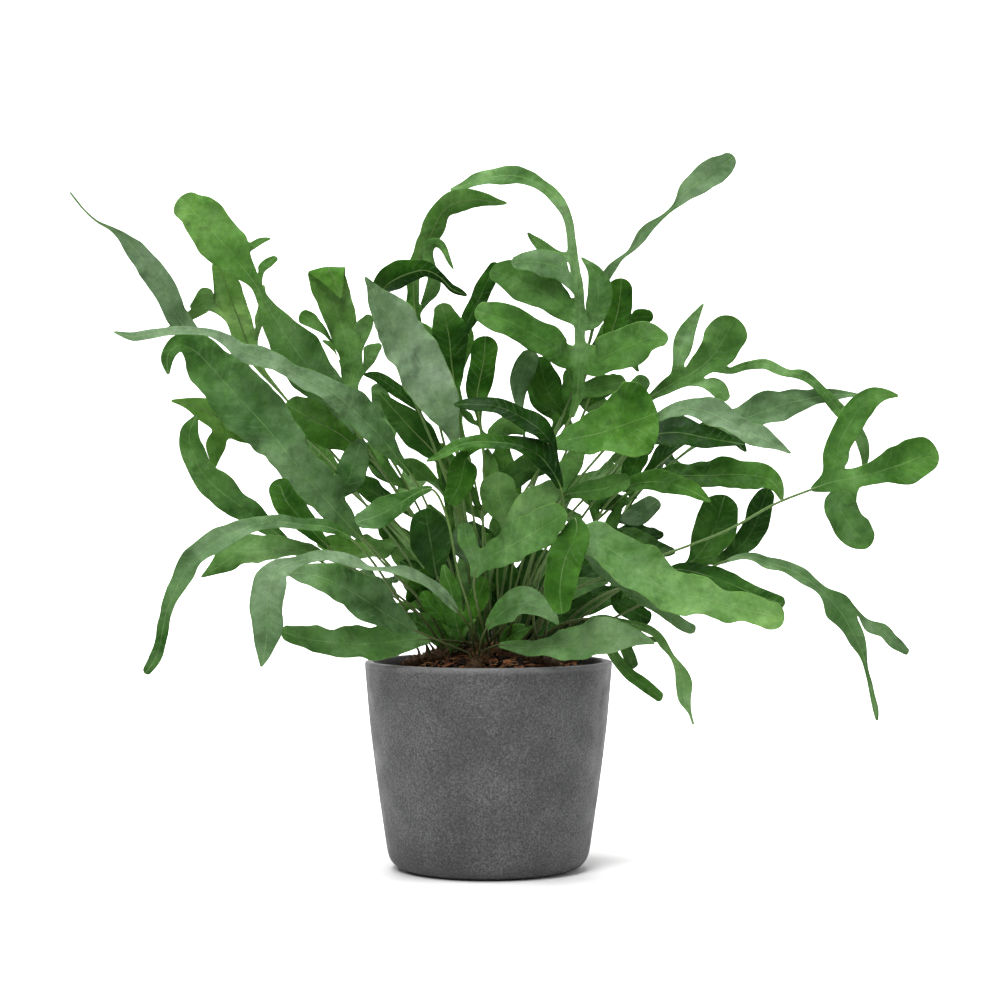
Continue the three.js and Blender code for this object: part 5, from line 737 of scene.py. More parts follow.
    ("front_round", (4, 0), [(2, 240, -55)], [(13, 277, -76, 3), (14, 287, -80, 8), (11, 297, -85, 13.5),
     (8, 307, -90, 16), (8, 314, -94, 14.5)], [(0, -1, 0.4), (0, -1, 0.5)], [(0.3, 0.55), (0.35, 0.62)], []),
    ("front_drooping", (4, 3), [(28, 222, -88), (56, 272, -124)], [(69, 288, -134, 3), (71, 279, -139, 9),
     (67, 267, -143, 13), (61, 254, -146, 14), (58, 240, -148, 14), (57, 226, -149, 11.5), (58, 217, -149, 8)],
     [(0.2, -0.8, 0.8), (0, -1, 0.2)], [(0.25, 0.3), (0.1, 0.42), (0.1, 0.42)], []),
    ("front_low", (4, 9), [], [(-2, 199, -88, 2.5), (8, 209, -95, 7.5), (17, 216, -102, 11.5),
     (28, 219, -109, 12), (40, 216, -115, 8.5), (50, 210, -120, 5), (56, 202, -123, 0.9)], [(0, -1, 0.6),
     (0.2, -1, 0.4)], [(0.5, 0.56), (0.6, 0.68), (0.6, 0.65)], []),
    ("front_arches", (5, 8), [(52, 230, -72), (60, 280, -98)], [(58, 311, -108, 3), (52, 323, -110, 7),
     (42, 336, -112, 9), (28, 344, -114, 8), (15, 347, -116, 6), (2, 348, -118, 5), (-12, 348, -120, 5.5),
     (-27, 344, -122, 5), (-38, 337, -124, 3), (-50, 333, -125, 0.9)], [(0.3, -0.8, 0.7), (0, -0.8, 0.8)],
     [(0, 0.12), (0, 0.14), (0.2, 0.38), (0.3, 0.5)], [(1.6, 5, [(47, 350, -110, 7), (37, 360, -110, 9),
     (26, 368, -110, 8.5), (13, 374, -110, 6.5), (0, 377, -110, 6.5), (-15, 378, -110, 5.5),
     (-28, 378, -110, 0.9)]), (6.2, 7, [(-18, 337, -115, 9), (-20, 327, -112, 11.5), (-23, 314, -110, 10.5),
     (-29, 303, -109, 7)])]),
    ("front_dark", (3, 3), [(-25, 215, -42)], [(-41, 240, -54, 3.5), (-44, 254, -57, 11), (-46, 267, -59, 16),
     (-48, 278, -61, 16.5), (-49, 284, -62, 14)], [(0, -1, 0.4), (-0.1, -1, 0.5)], [(0.5, 0.25), (0.6, 0.22),
     (0.5, 0.2)], []),
    ("front_grey_curl", (4, 6), [(-15, 212, -85), (-25, 246, -95), (-34, 290, -94)], [(-45, 311, -94, 3),
     (-58, 307, -97, 4.5), (-69, 300, -100, 7.5), (-82, 292, -104, 11.5), (-94, 287, -107, 10),
     (-101, 285, -109, 7)], [(-0.2, -0.7, 0.9), (-0.3, -1, 0.4)], [(0.3, 0.22), (0.35, 0.33), (0.7, 0.5)], []),
    ("front_young", (4, 4), [], [(-22, 192, -62, 2), (-26, 204, -66, 6), (-28, 217, -69, 8),
     (-30, 230, -71, 8), (-34, 241, -73, 5), (-36, 250, -74, 1.5)], [(0, -1, 0.3), (-0.1, -1, 0.5)],
     [(0.1, 0.4), (0.2, 0.45)], [(1, 4, [(-38, 209, -65, 5), (-46, 216, -65, 6), (-51, 225, -65, 5)]), (1, 4,
     [(-15, 211, -70, 6), (-9, 220, -74, 8), (-6, 230, -77, 7), (-4, 236, -79, 5)])]),
    # Back, out of sight in the front view.
    ("left_inner", (2, 3), [(-44, 262, 14)], [(-90, 330, 22, 3), (-104, 343, 21, 8), (-118, 354, 20, 14),
     (-134, 363, 19, 17), (-148, 370, 18, 14.5), (-155, 374, 17, 11)], [(-0.2, 0.8, 0.7), (-0.3, 1, 0.4)],
     [(0.1, 0.35), (0.1, 0.4), (0.3, 0.6)], [(-1.5, 4, [(-42, 244, 13, 4), (-49, 238, 12, 8),
     (-57, 231, 11, 8), (-63, 223, 10, 4)]), (-0.6, 5, [(-80, 303, 24, 6), (-90, 306, 28, 9),
     (-99, 312, 30, 9), (-106, 321, 31, 4)])]),
    ("back_tall", (1, 3), [(0, 250, 34), (-14, 330, 62)], [(-24, 362, 76, 4), (-32, 388, 92, 12),
     (-40, 410, 110, 16), (-48, 428, 132, 15), (-55, 438, 156, 12), (-60, 440, 180, 7), (-64, 434, 202, 0.9)],
     [(0.1, 0.9, 0.5), (0, 0.5, 0.9)], [(0.25, 0.5), (0.2, 0.55)], [(-1.5, 5, [(-17, 296, 60, 6),
     (-25, 308, 66, 11), (-31, 321, 72, 12), (-36, 334, 78, 9), (-39, 344, 82, 4)]), (-1.75, 4,
     [(4, 272, 48, 5), (8, 282, 52, 8), (9, 292, 55, 5)]), (-2.3, 4, [(7, 230, 42, 4), (10, 241, 47, 8),
     (12, 252, 50, 5)]), (1.4, 7, -1, 40, 9), (2.4, 7, 1, 34, 8.5)]),
    ("back_tall_right", (1, 5), [(15, 250, 38), (40, 330, 66)], [(54, 360, 80, 4), (66, 384, 96, 11),
     (78, 403, 116, 15), (90, 416, 140, 15), (102, 420, 165, 12), (112, 415, 190, 7), (120, 404, 208, 0.9)],
     [(-0.1, 0.9, 0.5), (0.2, 0.5, 0.9)], [(0.3, 0.36), (0.5, 0.55)], [(-1.4, 5, [(22, 291, 54, 5),
     (16, 304, 58, 10), (13, 318, 62, 12), (12, 332, 65, 11), (12, 343, 67, 6)]), (0.3, 5, [(45, 376, 84, 7),
     (38, 388, 87, 8), (34, 398, 90, 4)]), (1.5, 7, -1, 36, 8.5), (2.4, 7, 1, 38, 9)]),
    ("back_left", (2, 7), [(-60, 245, 54), (-100, 300, 86)], [(-125, 330, 105, 5), (-145, 350, 120, 12),
     (-165, 364, 138, 14), (-185, 373, 158, 13), (-200, 374, 178, 9), (-210, 367, 195, 0.9)],
     [(-0.4, 0.7, 0.6), (-0.3, 0.6, 0.8)], [(0.4, 0.57), (0.4, 0.62)], [(-1.6, 5, [(-85, 264, 76, 9),
     (-94, 262, 82, 13), (-104, 259, 88, 12), (-112, 254, 92, 5)]), (-1.3, 5, [(-80, 276, 90, 8),
     (-71, 268, 96, 12), (-62, 257, 100, 13), (-54, 246, 102, 8)]), (1.5, 7, 1, 38, 8), (2.3, 7, -1, 32, 8)]),
    ("back_right", (0, 9), [(78, 240, 36), (108, 290, 74)], [(125, 318, 95, 5), (145, 338, 115, 12),
     (165, 351, 138, 14), (182, 355, 160, 12), (196, 350, 180, 7), (206, 340, 195, 0.9)], [(0.4, 0.7, 0.6),
     (0.3, 0.6, 0.8)], [(0.1, 0.18), (0.2, 0.2)], [(-0.5, 5, [(113, 314, 92, 7), (116, 326, 98, 10),
     (122, 338, 102, 10), (129, 346, 105, 5)]), (-1.3, 5, [(110, 276, 70, 7), (120, 273, 76, 9),
     (130, 272, 80, 8), (138, 273, 83, 3)]), (-2.4, 4, [(82, 228, 44, 6), (92, 226, 50, 10), (102, 223, 56, 9),
     (110, 219, 60, 4)]), (1.5, 7, -1, 38, 8), (2.3, 7, 1, 32, 8)]),
    ("back_low_left", (2, 9), [(-52, 205, 72)], [(-75, 224, 96, 4), (-92, 236, 125, 11), (-110, 243, 155, 12),
     (-125, 245, 185, 9), (-136, 241, 208, 0.9)], [(-0.4, 0.5, 0.8), (-0.3, 0.7, 0.6)], [(0.3, 0.28),
     (0.3, 0.33)], [(1.1, 7, 1, 30, 8), (1.9, 7, -1, 32, 8)]),
    ("back_low_right", (0, 5), [(58, 205, 44)], [(85, 216, 90, 4), (105, 228, 120, 11), (125, 236, 148, 13),
     (145, 240, 176, 11), (160, 238, 200, 6), (170, 232, 215, 0.9)], [(0.4, 0.5, 0.8), (0.3, 0.7, 0.6)],
     [(0.3, 0.3), (0.3, 0.4)], [(1.1, 7, -1, 32, 8), (1.9, 7, 1, 32, 8)]),
    ("back_low", (1, 9), [], [(0, 206, 92, 3), (4, 222, 120, 10), (8, 232, 150, 15), (10, 234, 182, 14),
     (11, 226, 210, 9), (11, 212, 230, 0.9)], [(0, 0.6, 0.8), (0, 0.9, 0.3)], [(0.3, 0.7), (0.25, 0.7)],
     [(0.45, 5, [(18, 213, 106, 7), (31, 212, 110, 12), (45, 209, 112, 11), (57, 213, 117, 5)]), (0.75, 5,
     [(-14, 216, 112, 7), (-28, 214, 114, 11), (-42, 209, 114, 10), (-52, 213, 119, 5)]), (1.2, 7, -1, 32, 8),
     (2, 7, 1, 30, 8)]),
    ("back_middle", (1, 7), [(-8, 240, 72)], [(-18, 272, 94, 4), (-30, 297, 118, 12), (-42, 312, 148, 15),
     (-54, 318, 178, 13), (-64, 312, 204, 8), (-72, 300, 222, 0.9)], [(-0.1, 0.8, 0.6), (-0.2, 0.7, 0.7)],
     [(0.5, 0.65), (0.4, 0.65)], [(1.4, 7, -1, 34, 8), (2.3, 7, 1, 30, 8)]),
    ("back_middle_right", (1, 6), [(22, 240, 66)], [(44, 274, 90, 4), (62, 299, 114, 12), (80, 315, 143, 15),
     (97, 320, 172, 13), (110, 314, 196, 8), (118, 302, 214, 0.9)], [(0.1, 0.8, 0.6), (0.2, 0.7, 0.7)],
     [(0.4, 0.6), (0.4, 0.66)], [(-1.2, 4, [(32, 226, 58, 6), (42, 231, 56, 10), (48, 243, 54, 9)]), (1.3, 7,
     -1, 34, 8), (2.2, 7, 1, 34, 8)]),
]


def placed(point):
    """A point of the front view placed in the round: it spreads from the eye with its depth."""
    side, up, depth, half = (*point, STIPE_HALF)[:4]
    grow = 1 + depth / EYE_DISTANCE
    return [AXIS_SIDE + (side - AXIS_SIDE) * grow, depth, EYE_HEIGHT + (up - EYE_HEIGHT) * grow - GROUND,
            half * grow]


class Course:
    """A smooth run through points, measured by the distance along it; the blade begins at one of them."""

    def __init__(self, points, blade_from=0):
        self.points = points
        self.at = [0]
        for a, b in zip(points, points[1:]):
            self.at.append(self.at[-1] + math.dist(a[:3], b[:3]))
        self.length = self.at[-1]
        self.blade_from = blade_from
        self.blade_start = self.at[blade_from]
        rates = [[(q - p) / (self.at[i + 1] - self.at[i]) for p, q in zip(points[i], points[i + 1])]
                 for i in range(len(points) - 1)]
        inner = [[(p + q) / 2 for p, q in zip(a, b)] for a, b in zip(rates, rates[1:])]
        self.slope = [rates[0], *inner, rates[-1]]

    def find(self, s):
        """The place and half width at a distance."""
        i = 0
        while i < len(self.points) - 2 and s > self.at[i + 1]:
            i += 1
        h = self.at[i + 1] - self.at[i]
        u = min(max((s - self.at[i]) / h, 0), 1)
        a, b = self.points[i], self.points[i + 1]
        return [(2 * u**3 - 3 * u**2 + 1) * a[k] + (u**3 - 2 * u**2 + u) * h * self.slope[i][k]
                + (3 * u**2 - 2 * u**3) * b[k] + (u**3 - u**2) * h * self.slope[i + 1][k] for k in range(4)]

    def spot(self, s):
        return Vector(self.find(s)[:3])

    def heading(self, s):
        ahead, behind = min(s + HEADING_SPAN, self.length), max(s - HEADING_SPAN, 0)
        return (self.spot(ahead) - self.spot(behind)).normalized()

    def distance(self, place):
        """The distance of a place on the blade, 2.5 being halfway from its point 2 to its point 3."""
        i = min(math.floor(place), len(self.points) - self.blade_from - 2)
        a, b = self.at[self.blade_from + i], self.at[self.blade_from + i + 1]
        return a + (b - a) * (place - i)

    def share(self, s):
        """How far along the blade a distance is, from 0 to 1."""
        return (s - self.blade_start) / (self.length - self.blade_start)


def along(values, share):
    """A value at a share of the blade's length, between values spread evenly over it."""
    place_in = min(max(share, 0), 1) * (len(values) - 1)
    i = min(int(place_in), len(values) - 2)
    return values[i].lerp(values[i + 1], place_in - i)


class Row:
    """A cut across a blade: where it is, which way it runs and faces, and how wide it is."""

    def __init__(self, s, spot, heading, face, half, bladed, seed):
        self.s = s
        self.spot = spot
        self.heading = heading
        self.side = heading.cross(face).normalized()
        self.out = self.side.cross(heading).normalized()
        seen = math.hypot(self.side.x, self.side.z)
        self.wide = min(half / max(seen, 0.4), half + WIDEST_GAIN) if bladed > 0 else half
        self.raised = bladed * self.wide * CUP
        size = bladed * min(half * WAVE, LARGEST_WAVE)
        self.lift = (size * math.sin(s / 7 + seed), size * math.sin(s / 6 + seed * 2 + 1))
        self.ruffle = [size * 2 * noise.noise((s / 8, seed * 3, side)) for side in (0, 7)]
        self.margin = [bladed * (0.2 * noise.noise((s / 17, seed * 5, side))
                                 + 0.12 * noise.noise((s / 7, seed, side))) for side in (3, 9)]

    def point(self, t):
        """A place on the row, from its left margin at -1 to its right one at 1."""
        bent = self.raised * abs(t) ** 1.4 + self.lift[t > 0] * t * t + self.ruffle[t > 0] * abs(t) ** 3
        across = t * self.wide * (1.02 + self.margin[t > 0] * t * t)
        return self.spot + self.side * across + self.out * bent


def round_end(run, face, seed):
    """Rows past the last point, on a half ellipse; a pointed tip needs none."""
    half = run.points[-1][3]
    if half <= POINTED:
        return []
    reach = min(half * 0.8, LONGEST_END)
    heading = run.heading(run.length)
    last = run.spot(run.length)
    return [Row(run.length + reach * part, last + heading * reach * part, heading, face,
                max(half * math.sqrt(1 - part * part), LEAST_HALF), 1, seed)
            for part in (0.35, 0.62, 0.82, 0.94, 1)]


def marks_between(start, end, step, wanted=()):
    """Distances from start to end, about a step apart, with the wanted ones kept."""
    marks = [start, *sorted(w for w in wanted if start + 0.5 < w < end - 0.5), end]
    out = []
    for a, b in zip(marks, marks[1:]):
        n = max(1, round((b - a) / step))
        out += [a + (b - a) * k / n for k in range(n)]
    return out + [end]


def nearest(rows, s):
    return min(rows, key=lambda row: abs(row.s - s))


class Root:
    """The foot of a lobe on the margin of its blade: its middle, half length and side, and the lobe's shape."""

    def __init__(self, run, faces, place, half, *shape):
        self.mid = run.distance(place)
        self.half = self.wish = half
        self.shape = shape
        self.right = None
        if self.mid > run.blade_start:
            self.wish = max(half, 0.75 * (shape[2] if len(shape) == 3 else max(p[3] for p in shape[0])))
            self.right = self.leans_right(run, faces)

    def leans_right(self, run, faces):
        if len(self.shape) == 3:
            return self.shape[0] > 0
        side = run.heading(self.mid).cross(along(faces, run.share(self.mid)))
        return (Vector(placed(self.shape[0][0])[:3]) - run.spot(self.mid)).dot(side) > 0

    def widen(self, run, roots):
        """The foot grows as broad as the lobe wishes, as far as its neighbours and the blade's ends allow."""
        if self.wish > self.half:
            gaps = [abs(r.mid - self.mid) - r.half for r in roots if r is not self and r.right == self.right]
            ends = (self.mid - run.blade_start - 1, run.length - self.mid - 3)
            self.half = max(self.half, min([self.wish, *ends, *(gap - 2 for gap in gaps)]))
        self.start, self.end = self.mid - self.half, self.mid + self.half
        self.long = self.end - self.mid

    def settle(self, rows):
        """Finds the lobe's points once the blade's rows are known, and the side it stands on."""
        self.row = nearest(rows, self.mid)
        self.path = slanted(self.row, *self.shape) if len(self.shape) == 3 else list(map(placed, self.shape[0]))
        self.toward = 1 if (Vector(self.path[0][:3]) - self.row.spot).dot(self.row.side) > 0 else -1


def slanted(row, toward, reach, half):
    """The points of a lobe that spreads at a slant from one side of a blade and droops a little."""
    out = []
    for share, width in ((0.12, 0.75), (0.4, 1), (0.75, 0.8), (1, 0.1)):
        spot = (row.spot + row.side * toward * (row.wide + reach * share * 0.8)
                + row.heading * reach * share * 0.6 - row.out * reach * share**2 * 0.2)
        out.append([*spot, half * width])
    return out


class Blade:
    """The sheet of a frond as it grows: a strip for the blade, then a strip for each lobe off its margin."""

    def __init__(self):
        self.bm = bmesh.new()
        self.vein = self.bm.loops.layers.uv.new("vein")
        self.margin = self.bm.loops.layers.uv.new("margin")
        self.bloom = self.bm.verts.layers.float.new("bloom")
        # Light per point: the blade's own lightness, partly painted shade for fronds in the shade of others.
        self.light = self.bm.verts.layers.float.new("light")

    def put(self, v, spot, look):
        v.co = spot
        v[self.bloom], v[self.light] = look[0], look[1]

    def map_faces(self, faces, where):
        """Writes distances across and along in centimetres, how near the margin a corner is and how ribbed."""
        for face in faces:
            for loop in face.loops:
                across, run, edge, ribbed = where[loop.vert]
                loop[self.vein].uv = (across / 10, run / 10)
                loop[self.margin].uv = (edge, ribbed)

    def strip(self, rows, looks, roots):
        """The blade itself; a margin that a lobe grows from is no edge of the leaf."""
        columns = len(ACROSS)
        made = bmesh.ops.create_grid(self.bm, x_segments=columns - 1, y_segments=len(rows) - 1, size=1)["verts"]
        grid = [made[i * columns:(i + 1) * columns] for i in range(len(rows))]
        where = {}
        for row, line, look in zip(rows, grid, looks):
            lobed = [r.toward for r in roots if r.start + TOUCH < row.s < r.end - TOUCH]
            for t, v in zip(ACROSS, line):
                self.put(v, row.point(t), look)
                where[v] = (t * row.wide, row.s, 0.5 if t in lobed else abs(t), 1)
        self.map_faces({f for v in made for f in v.link_faces}, where)
        return grid

    def extend(self, chain, spots, wheres, look):
        """One more row of a lobe: its outer edge drawn on to the given places."""
        edges = [self.bm.edges.get(pair) for pair in zip(chain, chain[1:])]
        made = bmesh.ops.extrude_edge_only(self.bm, edges=edges)["geom"]
        fresh = {v for v in made if isinstance(v, bmesh.types.BMVert)}
        faces = [f for f in made if isinstance(f, bmesh.types.BMFace)]
        following = [next(e.other_vert(v) for e in v.link_edges if e.other_vert(v) in fresh) for v in chain]
        for v, spot in zip(following, spots):
            self.put(v, spot, look)
        self.map_faces(faces, dict(zip(chain, wheres[0])) | dict(zip(following, wheres[1])))
        return following

    def grow_lobe(self, rows, grid, root, face, seed, look):
        """A lobe from its root on one margin of the blade to its tip."""
        row, toward = root.row, root.toward
        inside = [i for i, r in enumerate(rows) if root.start - TOUCH < r.s < root.end + TOUCH][::-toward]
        chain = [grid[i][-1 if toward > 0 else 0] for i in inside]
        start = [v.co.copy() for v in chain]
        spread = [(rows[i].s - root.mid) / root.long * -toward for i in inside]
        begin = row.spot + row.side * toward * row.wide
        run = Course([[*begin, root.long], *root.path])
        blending = min(LOBE_BLENDING, run.length * 0.45)
        cuts = [Row(s, run.spot(s), run.heading(s), face, run.find(s)[3], 1, seed)
                for s in marks_between(0, run.length, ROW_STEP)[1:]]
        where = [(t * root.long, 0, abs(t), 0.5) for t in spread]
        for cut in cuts + round_end(run, face, seed):
            share = min(cut.s / blending, 1)
            share = share * share * (3 - 2 * share)
            spots = [(first + cut.heading * cut.s).lerp(cut.point(t), share) for first, t in zip(start, spread)]
            following = [(t * cut.wide, cut.s, abs(t), 0.5) for t in spread]
            spots = [kept_off(spot, rows, toward) for spot in spots]
            chain = self.extend(chain, spots, (where, following), look)
            where = following

    def thicken(self, middle, out):
        """Gives the sheet its thickness; the faces on the blade's underside take the second material."""
        bm = self.bm
        bmesh.ops.recalc_face_normals(bm, faces=bm.faces[:])
        if next(iter(middle.link_faces)).normal.dot(out) < 0:
            bmesh.ops.reverse_faces(bm, faces=bm.faces[:])
        upper = set(bm.faces)
        for v in bm.verts:
            v.co *= MM
        bmesh.ops.solidify(bm, geom=bm.faces[:], thickness=BLADE_THICKNESS * MM)
        for f in bm.faces:
            f.material_index = 0 if f in upper else 1

    def rib(self, run, foot, rows):
        """The stipe from the rhizome to the blade, and the rib it becomes along the blade's underside."""
        stations = [(foot + UPWARD * height, UPWARD, half) for height, half in STIPE_FOOT]
        for s in marks_between(0, rows[0].s, STIPE_STEP):
            stations.append((run.spot(s), run.heading(s) if s else UPWARD, STIPE_HALF))
        for row in rows[1:]:
            if row.s > run.length - 2:
                break
            radius = STIPE_HALF - (STIPE_HALF - RIB_TIP) * min(max(run.share(row.s), 0), 1)**0.5
            stations.append((row.spot - row.out * (RIB_DEPTH + radius * 0.3), row.heading, radius))
        before = set(self.bm.faces)
        tube(self.bm, stations, STIPE_SIDES)
        for f in self.bm.faces:
            if f not in before:
                f.material_index = 2


def kept_off(spot, rows, toward):
    """A lobe's point, moved out past the margin of the blade where it would lie on it."""
    near = [r for r in rows if (spot - r.spot).length < r.wide + 16]
    if not near:
        return spot
    row = min(near, key=lambda r: abs((spot - r.spot).dot(r.heading)))
    away = spot - row.spot
    across = away.dot(row.side)
    free = row.wide + BLADE_MARGIN
    if abs(across) > free or max(abs(away.dot(row.out)), abs(away.dot(row.heading))) > BESIDE_BLADE:
        return spot
    return spot + row.side * (toward * free - across)


def carried_faces(run, marks, lowest, faces):
    """The way each row of the stipe looks: below the lowest lobe it is carried down without a twist."""
    looks = {}
    carried = along(faces, 0)
    for s in sorted(marks, reverse=True):
        heading = run.heading(s) if s else UPWARD
        if s > lowest - 1e-6:
            looks[s] = along(faces, run.share(s))
            carried = looks[s] - heading * looks[s].dot(heading)
        else:
            looks[s] = carried = (carried - heading * carried.dot(heading)).normalized()
    return looks


def frond(name, foot, stem, blade, face, tones_and_painted_shade, lobes, seed):
    """A whole frond from its points, as one object."""
    arm, step = foot
    foot = beside_arm(ARM_ANGLES[arm], FIRST_PLACE + PLACE_STEP * step, PLACE_SWAY if step % 2 else -PLACE_SWAY)
    bend = [foot.x, foot.y, foot.z + BEND_RISE, STIPE_HALF]
    run = Course([bend, *map(placed, stem), *map(placed, blade)], 1 + len(stem))
    s0 = run.blade_start
    faces = [Vector(f).normalized() for f in face]
    tones_and_painted_shade = [Vector((*pair, 0)) for pair in tones_and_painted_shade]
    roots = [Root(run, faces, *lobe) for lobe in lobes]
    for root in roots:
        root.widen(run, roots)
    lowest = min([s0, *(r.start for r in roots)])
    wanted = [s0, *(s for r in roots for s in (r.mid, r.start, r.end))]
    marks = marks_between(lowest, run.length, ROW_STEP, wanted)
    marks = [s for i, s in enumerate(marks) if i == 0 or s - marks[i - 1] > 0.8]
    looks = carried_faces(run, marks, lowest, faces)
    rows = []
    for s in marks:
        bladed = min(max((s - s0) / UNFOLDING, 0), 1)
        rows.append(Row(s, run.spot(s), run.heading(s), looks[s], run.find(s)[3], bladed, seed))
    rows += round_end(run, along(faces, 1), seed)
    for root in roots:
        root.settle(rows)
    sheet = Blade()
    # Rows and lobes take wax and light from the frond's shades; low light is partly painted shade.
    grid = sheet.strip(rows, [along(tones_and_painted_shade, run.share(r.s)) for r in rows], roots)
    for root in roots:
        shift = Vector((0.16 * math.sin(root.mid + seed), 0.09 * math.sin(root.mid * 1.7 + seed), 0))
        shade = along(tones_and_painted_shade, run.share(root.row.s)) + shift
        sheet.grow_lobe(rows, grid, root, looks[root.row.s], seed + root.mid, shade)
    middle = len(rows) // 2
    sheet.thicken(grid[middle][3], rows[middle].out)
    sheet.rib(run, foot, rows)
    made = refined(shown(sheet.bm, "leaf_" + name, leaf_materials))
    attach(made, "root")
    return made


def leaf_skin(name, waxed, gloss):
    """Leaf from the blade's own bloom and light values (the light partly painted shade), with patches, veins,
    a rib line and a thin rim.
    """
    made, tree, shader = material(name)
    at, on_blade = place(tree), place(tree, uv="vein")
    mottled = grain(tree, at, 75, 4, 0.68)
    # The light value from the mesh is partly painted shade; random patches vary it.
    light = maths(tree, "ADD", own_value(tree, "light"),
                  maths(tree, "MULTIPLY_ADD", grain(tree, at, 24, 4, 0.6), 1.0, -0.5))
    bloom = maths(tree, "ADD", maths(tree, "MULTIPLY", own_value(tree, "bloom"), waxed),
                  maths(tree, "MULTIPLY_ADD", mottled, 0.6, -0.3))
    colour = blend(tree, ramp(tree, bloom, [(0.0, 0.0), (0.5, 1.0)]), ramp(tree, light, VIVID),
                   ramp(tree, light, PLAIN))
    colour = blend(tree, ramp(tree, bloom, [(0.5, 0.0), (1.0, 1.0)]), colour, ramp(tree, light, GREYED))
    fine = ramp(tree, grain(tree, at, 280, 5, 0.75), [(0.36, 0.87), (0.5, 1.0), (0.64, 1.14)])
    across = maths(tree, "ABSOLUTE", part_of(tree, on_blade, "X"))
    wobble = maths(tree, "MULTIPLY_ADD", grain(tree, on_blade, 1.4), 0.7, -0.35)
    slant = maths(tree, "SUBTRACT", part_of(tree, on_blade, "Y"), maths(tree, "MULTIPLY", across, 0.75))
    beat = maths(tree, "PINGPONG", maths(tree, "ADD", slant, wobble), 0.32)
    veins = product(tree, ramp(tree, beat, [(0.0, 1.0), (0.03, 0.3), (0.12, 0.0)]),
                    ramp(tree, grain(tree, at, 45, 2), [(0.42, 0.0), (0.62, 1.0)]))
    net = ramp(tree, cells(tree, on_blade, 5, "DISTANCE_TO_EDGE"), [(0.0, 1.0), (0.07, 0.0)])
    edges = place(tree, uv="margin")
    rim = ramp(tree, part_of(tree, edges, "X"), [(0.955, 0.0), (0.995, 1.0)])
    midrib = maths(tree, "MULTIPLY", ramp(tree, across, [(0.02, 1.0), (0.07, 0.0)]), part_of(tree, edges, "Y"))
    shown_midrib = product(tree, midrib,
                           ramp(tree, grain(tree, on_blade, 0.45, 2), [(0.34, 0.25), (0.58, 1.0)]))
    specks = product(tree, ramp(tree, cells(tree, at, 330), [(0.03, 1.0), (0.11, 0.0)]),
                     ramp(tree, grain(tree, at, 60, 2), [(0.56, 0.0), (0.64, 1.0)]))
    colour = laid_over(tree, product(tree, colour, fine), (veins, 0.13, VEIN_GREEN), (net, 0.03, VEIN_GREEN),
                       (shown_midrib, 0.3, (0.2, 0.33, 0.12)), (rim, 0.42, (0.2, 0.36, 0.09)),
                       (specks, 0.35, (0.03, 0.045, 0.012)))
    surface(tree, shader, colour, ramp(tree, mottled, [(0.3, gloss), (0.7, gloss + 0.16)]), 0.03)
    bumps(tree, shader, (grain(tree, at, 22, 1), 0.9, 0.015), (grain(tree, at, 60, 1), 0.9, 0.008),
          (grain(tree, at, 150, 2), 0.6, 0.0014), (veins, 0.5, 0.0005), (net, 0.25, 0.0003),
          (midrib, 0.5, 0.0006))
    through = node(tree, "BsdfTranslucent", Color=product(tree, colour, (0.9, 1.0, 0.2)))
    both = node(tree, "MixShader", Fac=LET_THROUGH)
    tree.links.new(shader.outputs["BSDF"], both.inputs[1])
    tree.links.new(through.outputs["BSDF"], both.inputs[2])
    tree.links.new(both.outputs["Shader"], tree.nodes["Material Output"].inputs["Surface"])
    return made


def stipe_skin():
    """Brown at the foot, green higher up, with fine streaks along it."""
    made, tree, shader = material("stipe_skin")
    height = maths(tree, "MULTIPLY", part_of(tree, place(tree), "Z"), 2)
    low = ramp(tree, height, [(0.33, (0.026, 0.019, 0.007)), (0.38, (0.038, 0.052, 0.012)),
                              (0.52, (0.062, 0.118, 0.022))])
    streaks = ramp(tree, grain(tree, place(tree, (1, 1, 0.25)), 900, 2), [(0.3, 0.75), (0.7, 1.2)])
    surface(tree, shader, product(tree, low, streaks), 0.5, 0.25)
    bumps(tree, shader, (grain(tree, place(tree, (1, 1, 0.3)), 700, 2), 0.3, 0.0003))
    return made


# Colours for light values from 0 to 1; their dark ends serve partly as painted shade.
VIVID = [(0.0, (0.003, 0.018, 0.001)), (0.25, (0.011, 0.053, 0.002)), (0.5, (0.042, 0.131, 0.011)),
         (0.75, (0.1, 0.225, 0.038)), (1.0, (0.2, 0.35, 0.09))]
PLAIN = [(0.0, (0.004, 0.019, 0.002)), (0.25, (0.014, 0.054, 0.006)), (0.5, (0.053, 0.129, 0.03)),
         (0.75, (0.112, 0.216, 0.075)), (1.0, (0.2, 0.315, 0.14))]
GREYED = [(0.0, (0.011, 0.03, 0.008)), (0.25, (0.037, 0.079, 0.029)), (0.5, (0.104, 0.173, 0.088)),
          (0.75, (0.168, 0.247, 0.148)), (1.0, (0.25, 0.33, 0.22))]
VEIN_GREEN = (0.3, 0.42, 0.24)
LET_THROUGH = 0.16
leaf_materials = [leaf_skin("leaf_upper", 1.0, 0.42), leaf_skin("leaf_underside", 0.65, 0.58), stipe_skin()]
for number, entry in enumerate(FRONDS):
    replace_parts(frond(*entry, number * 1.3), "frond_" + entry[0])
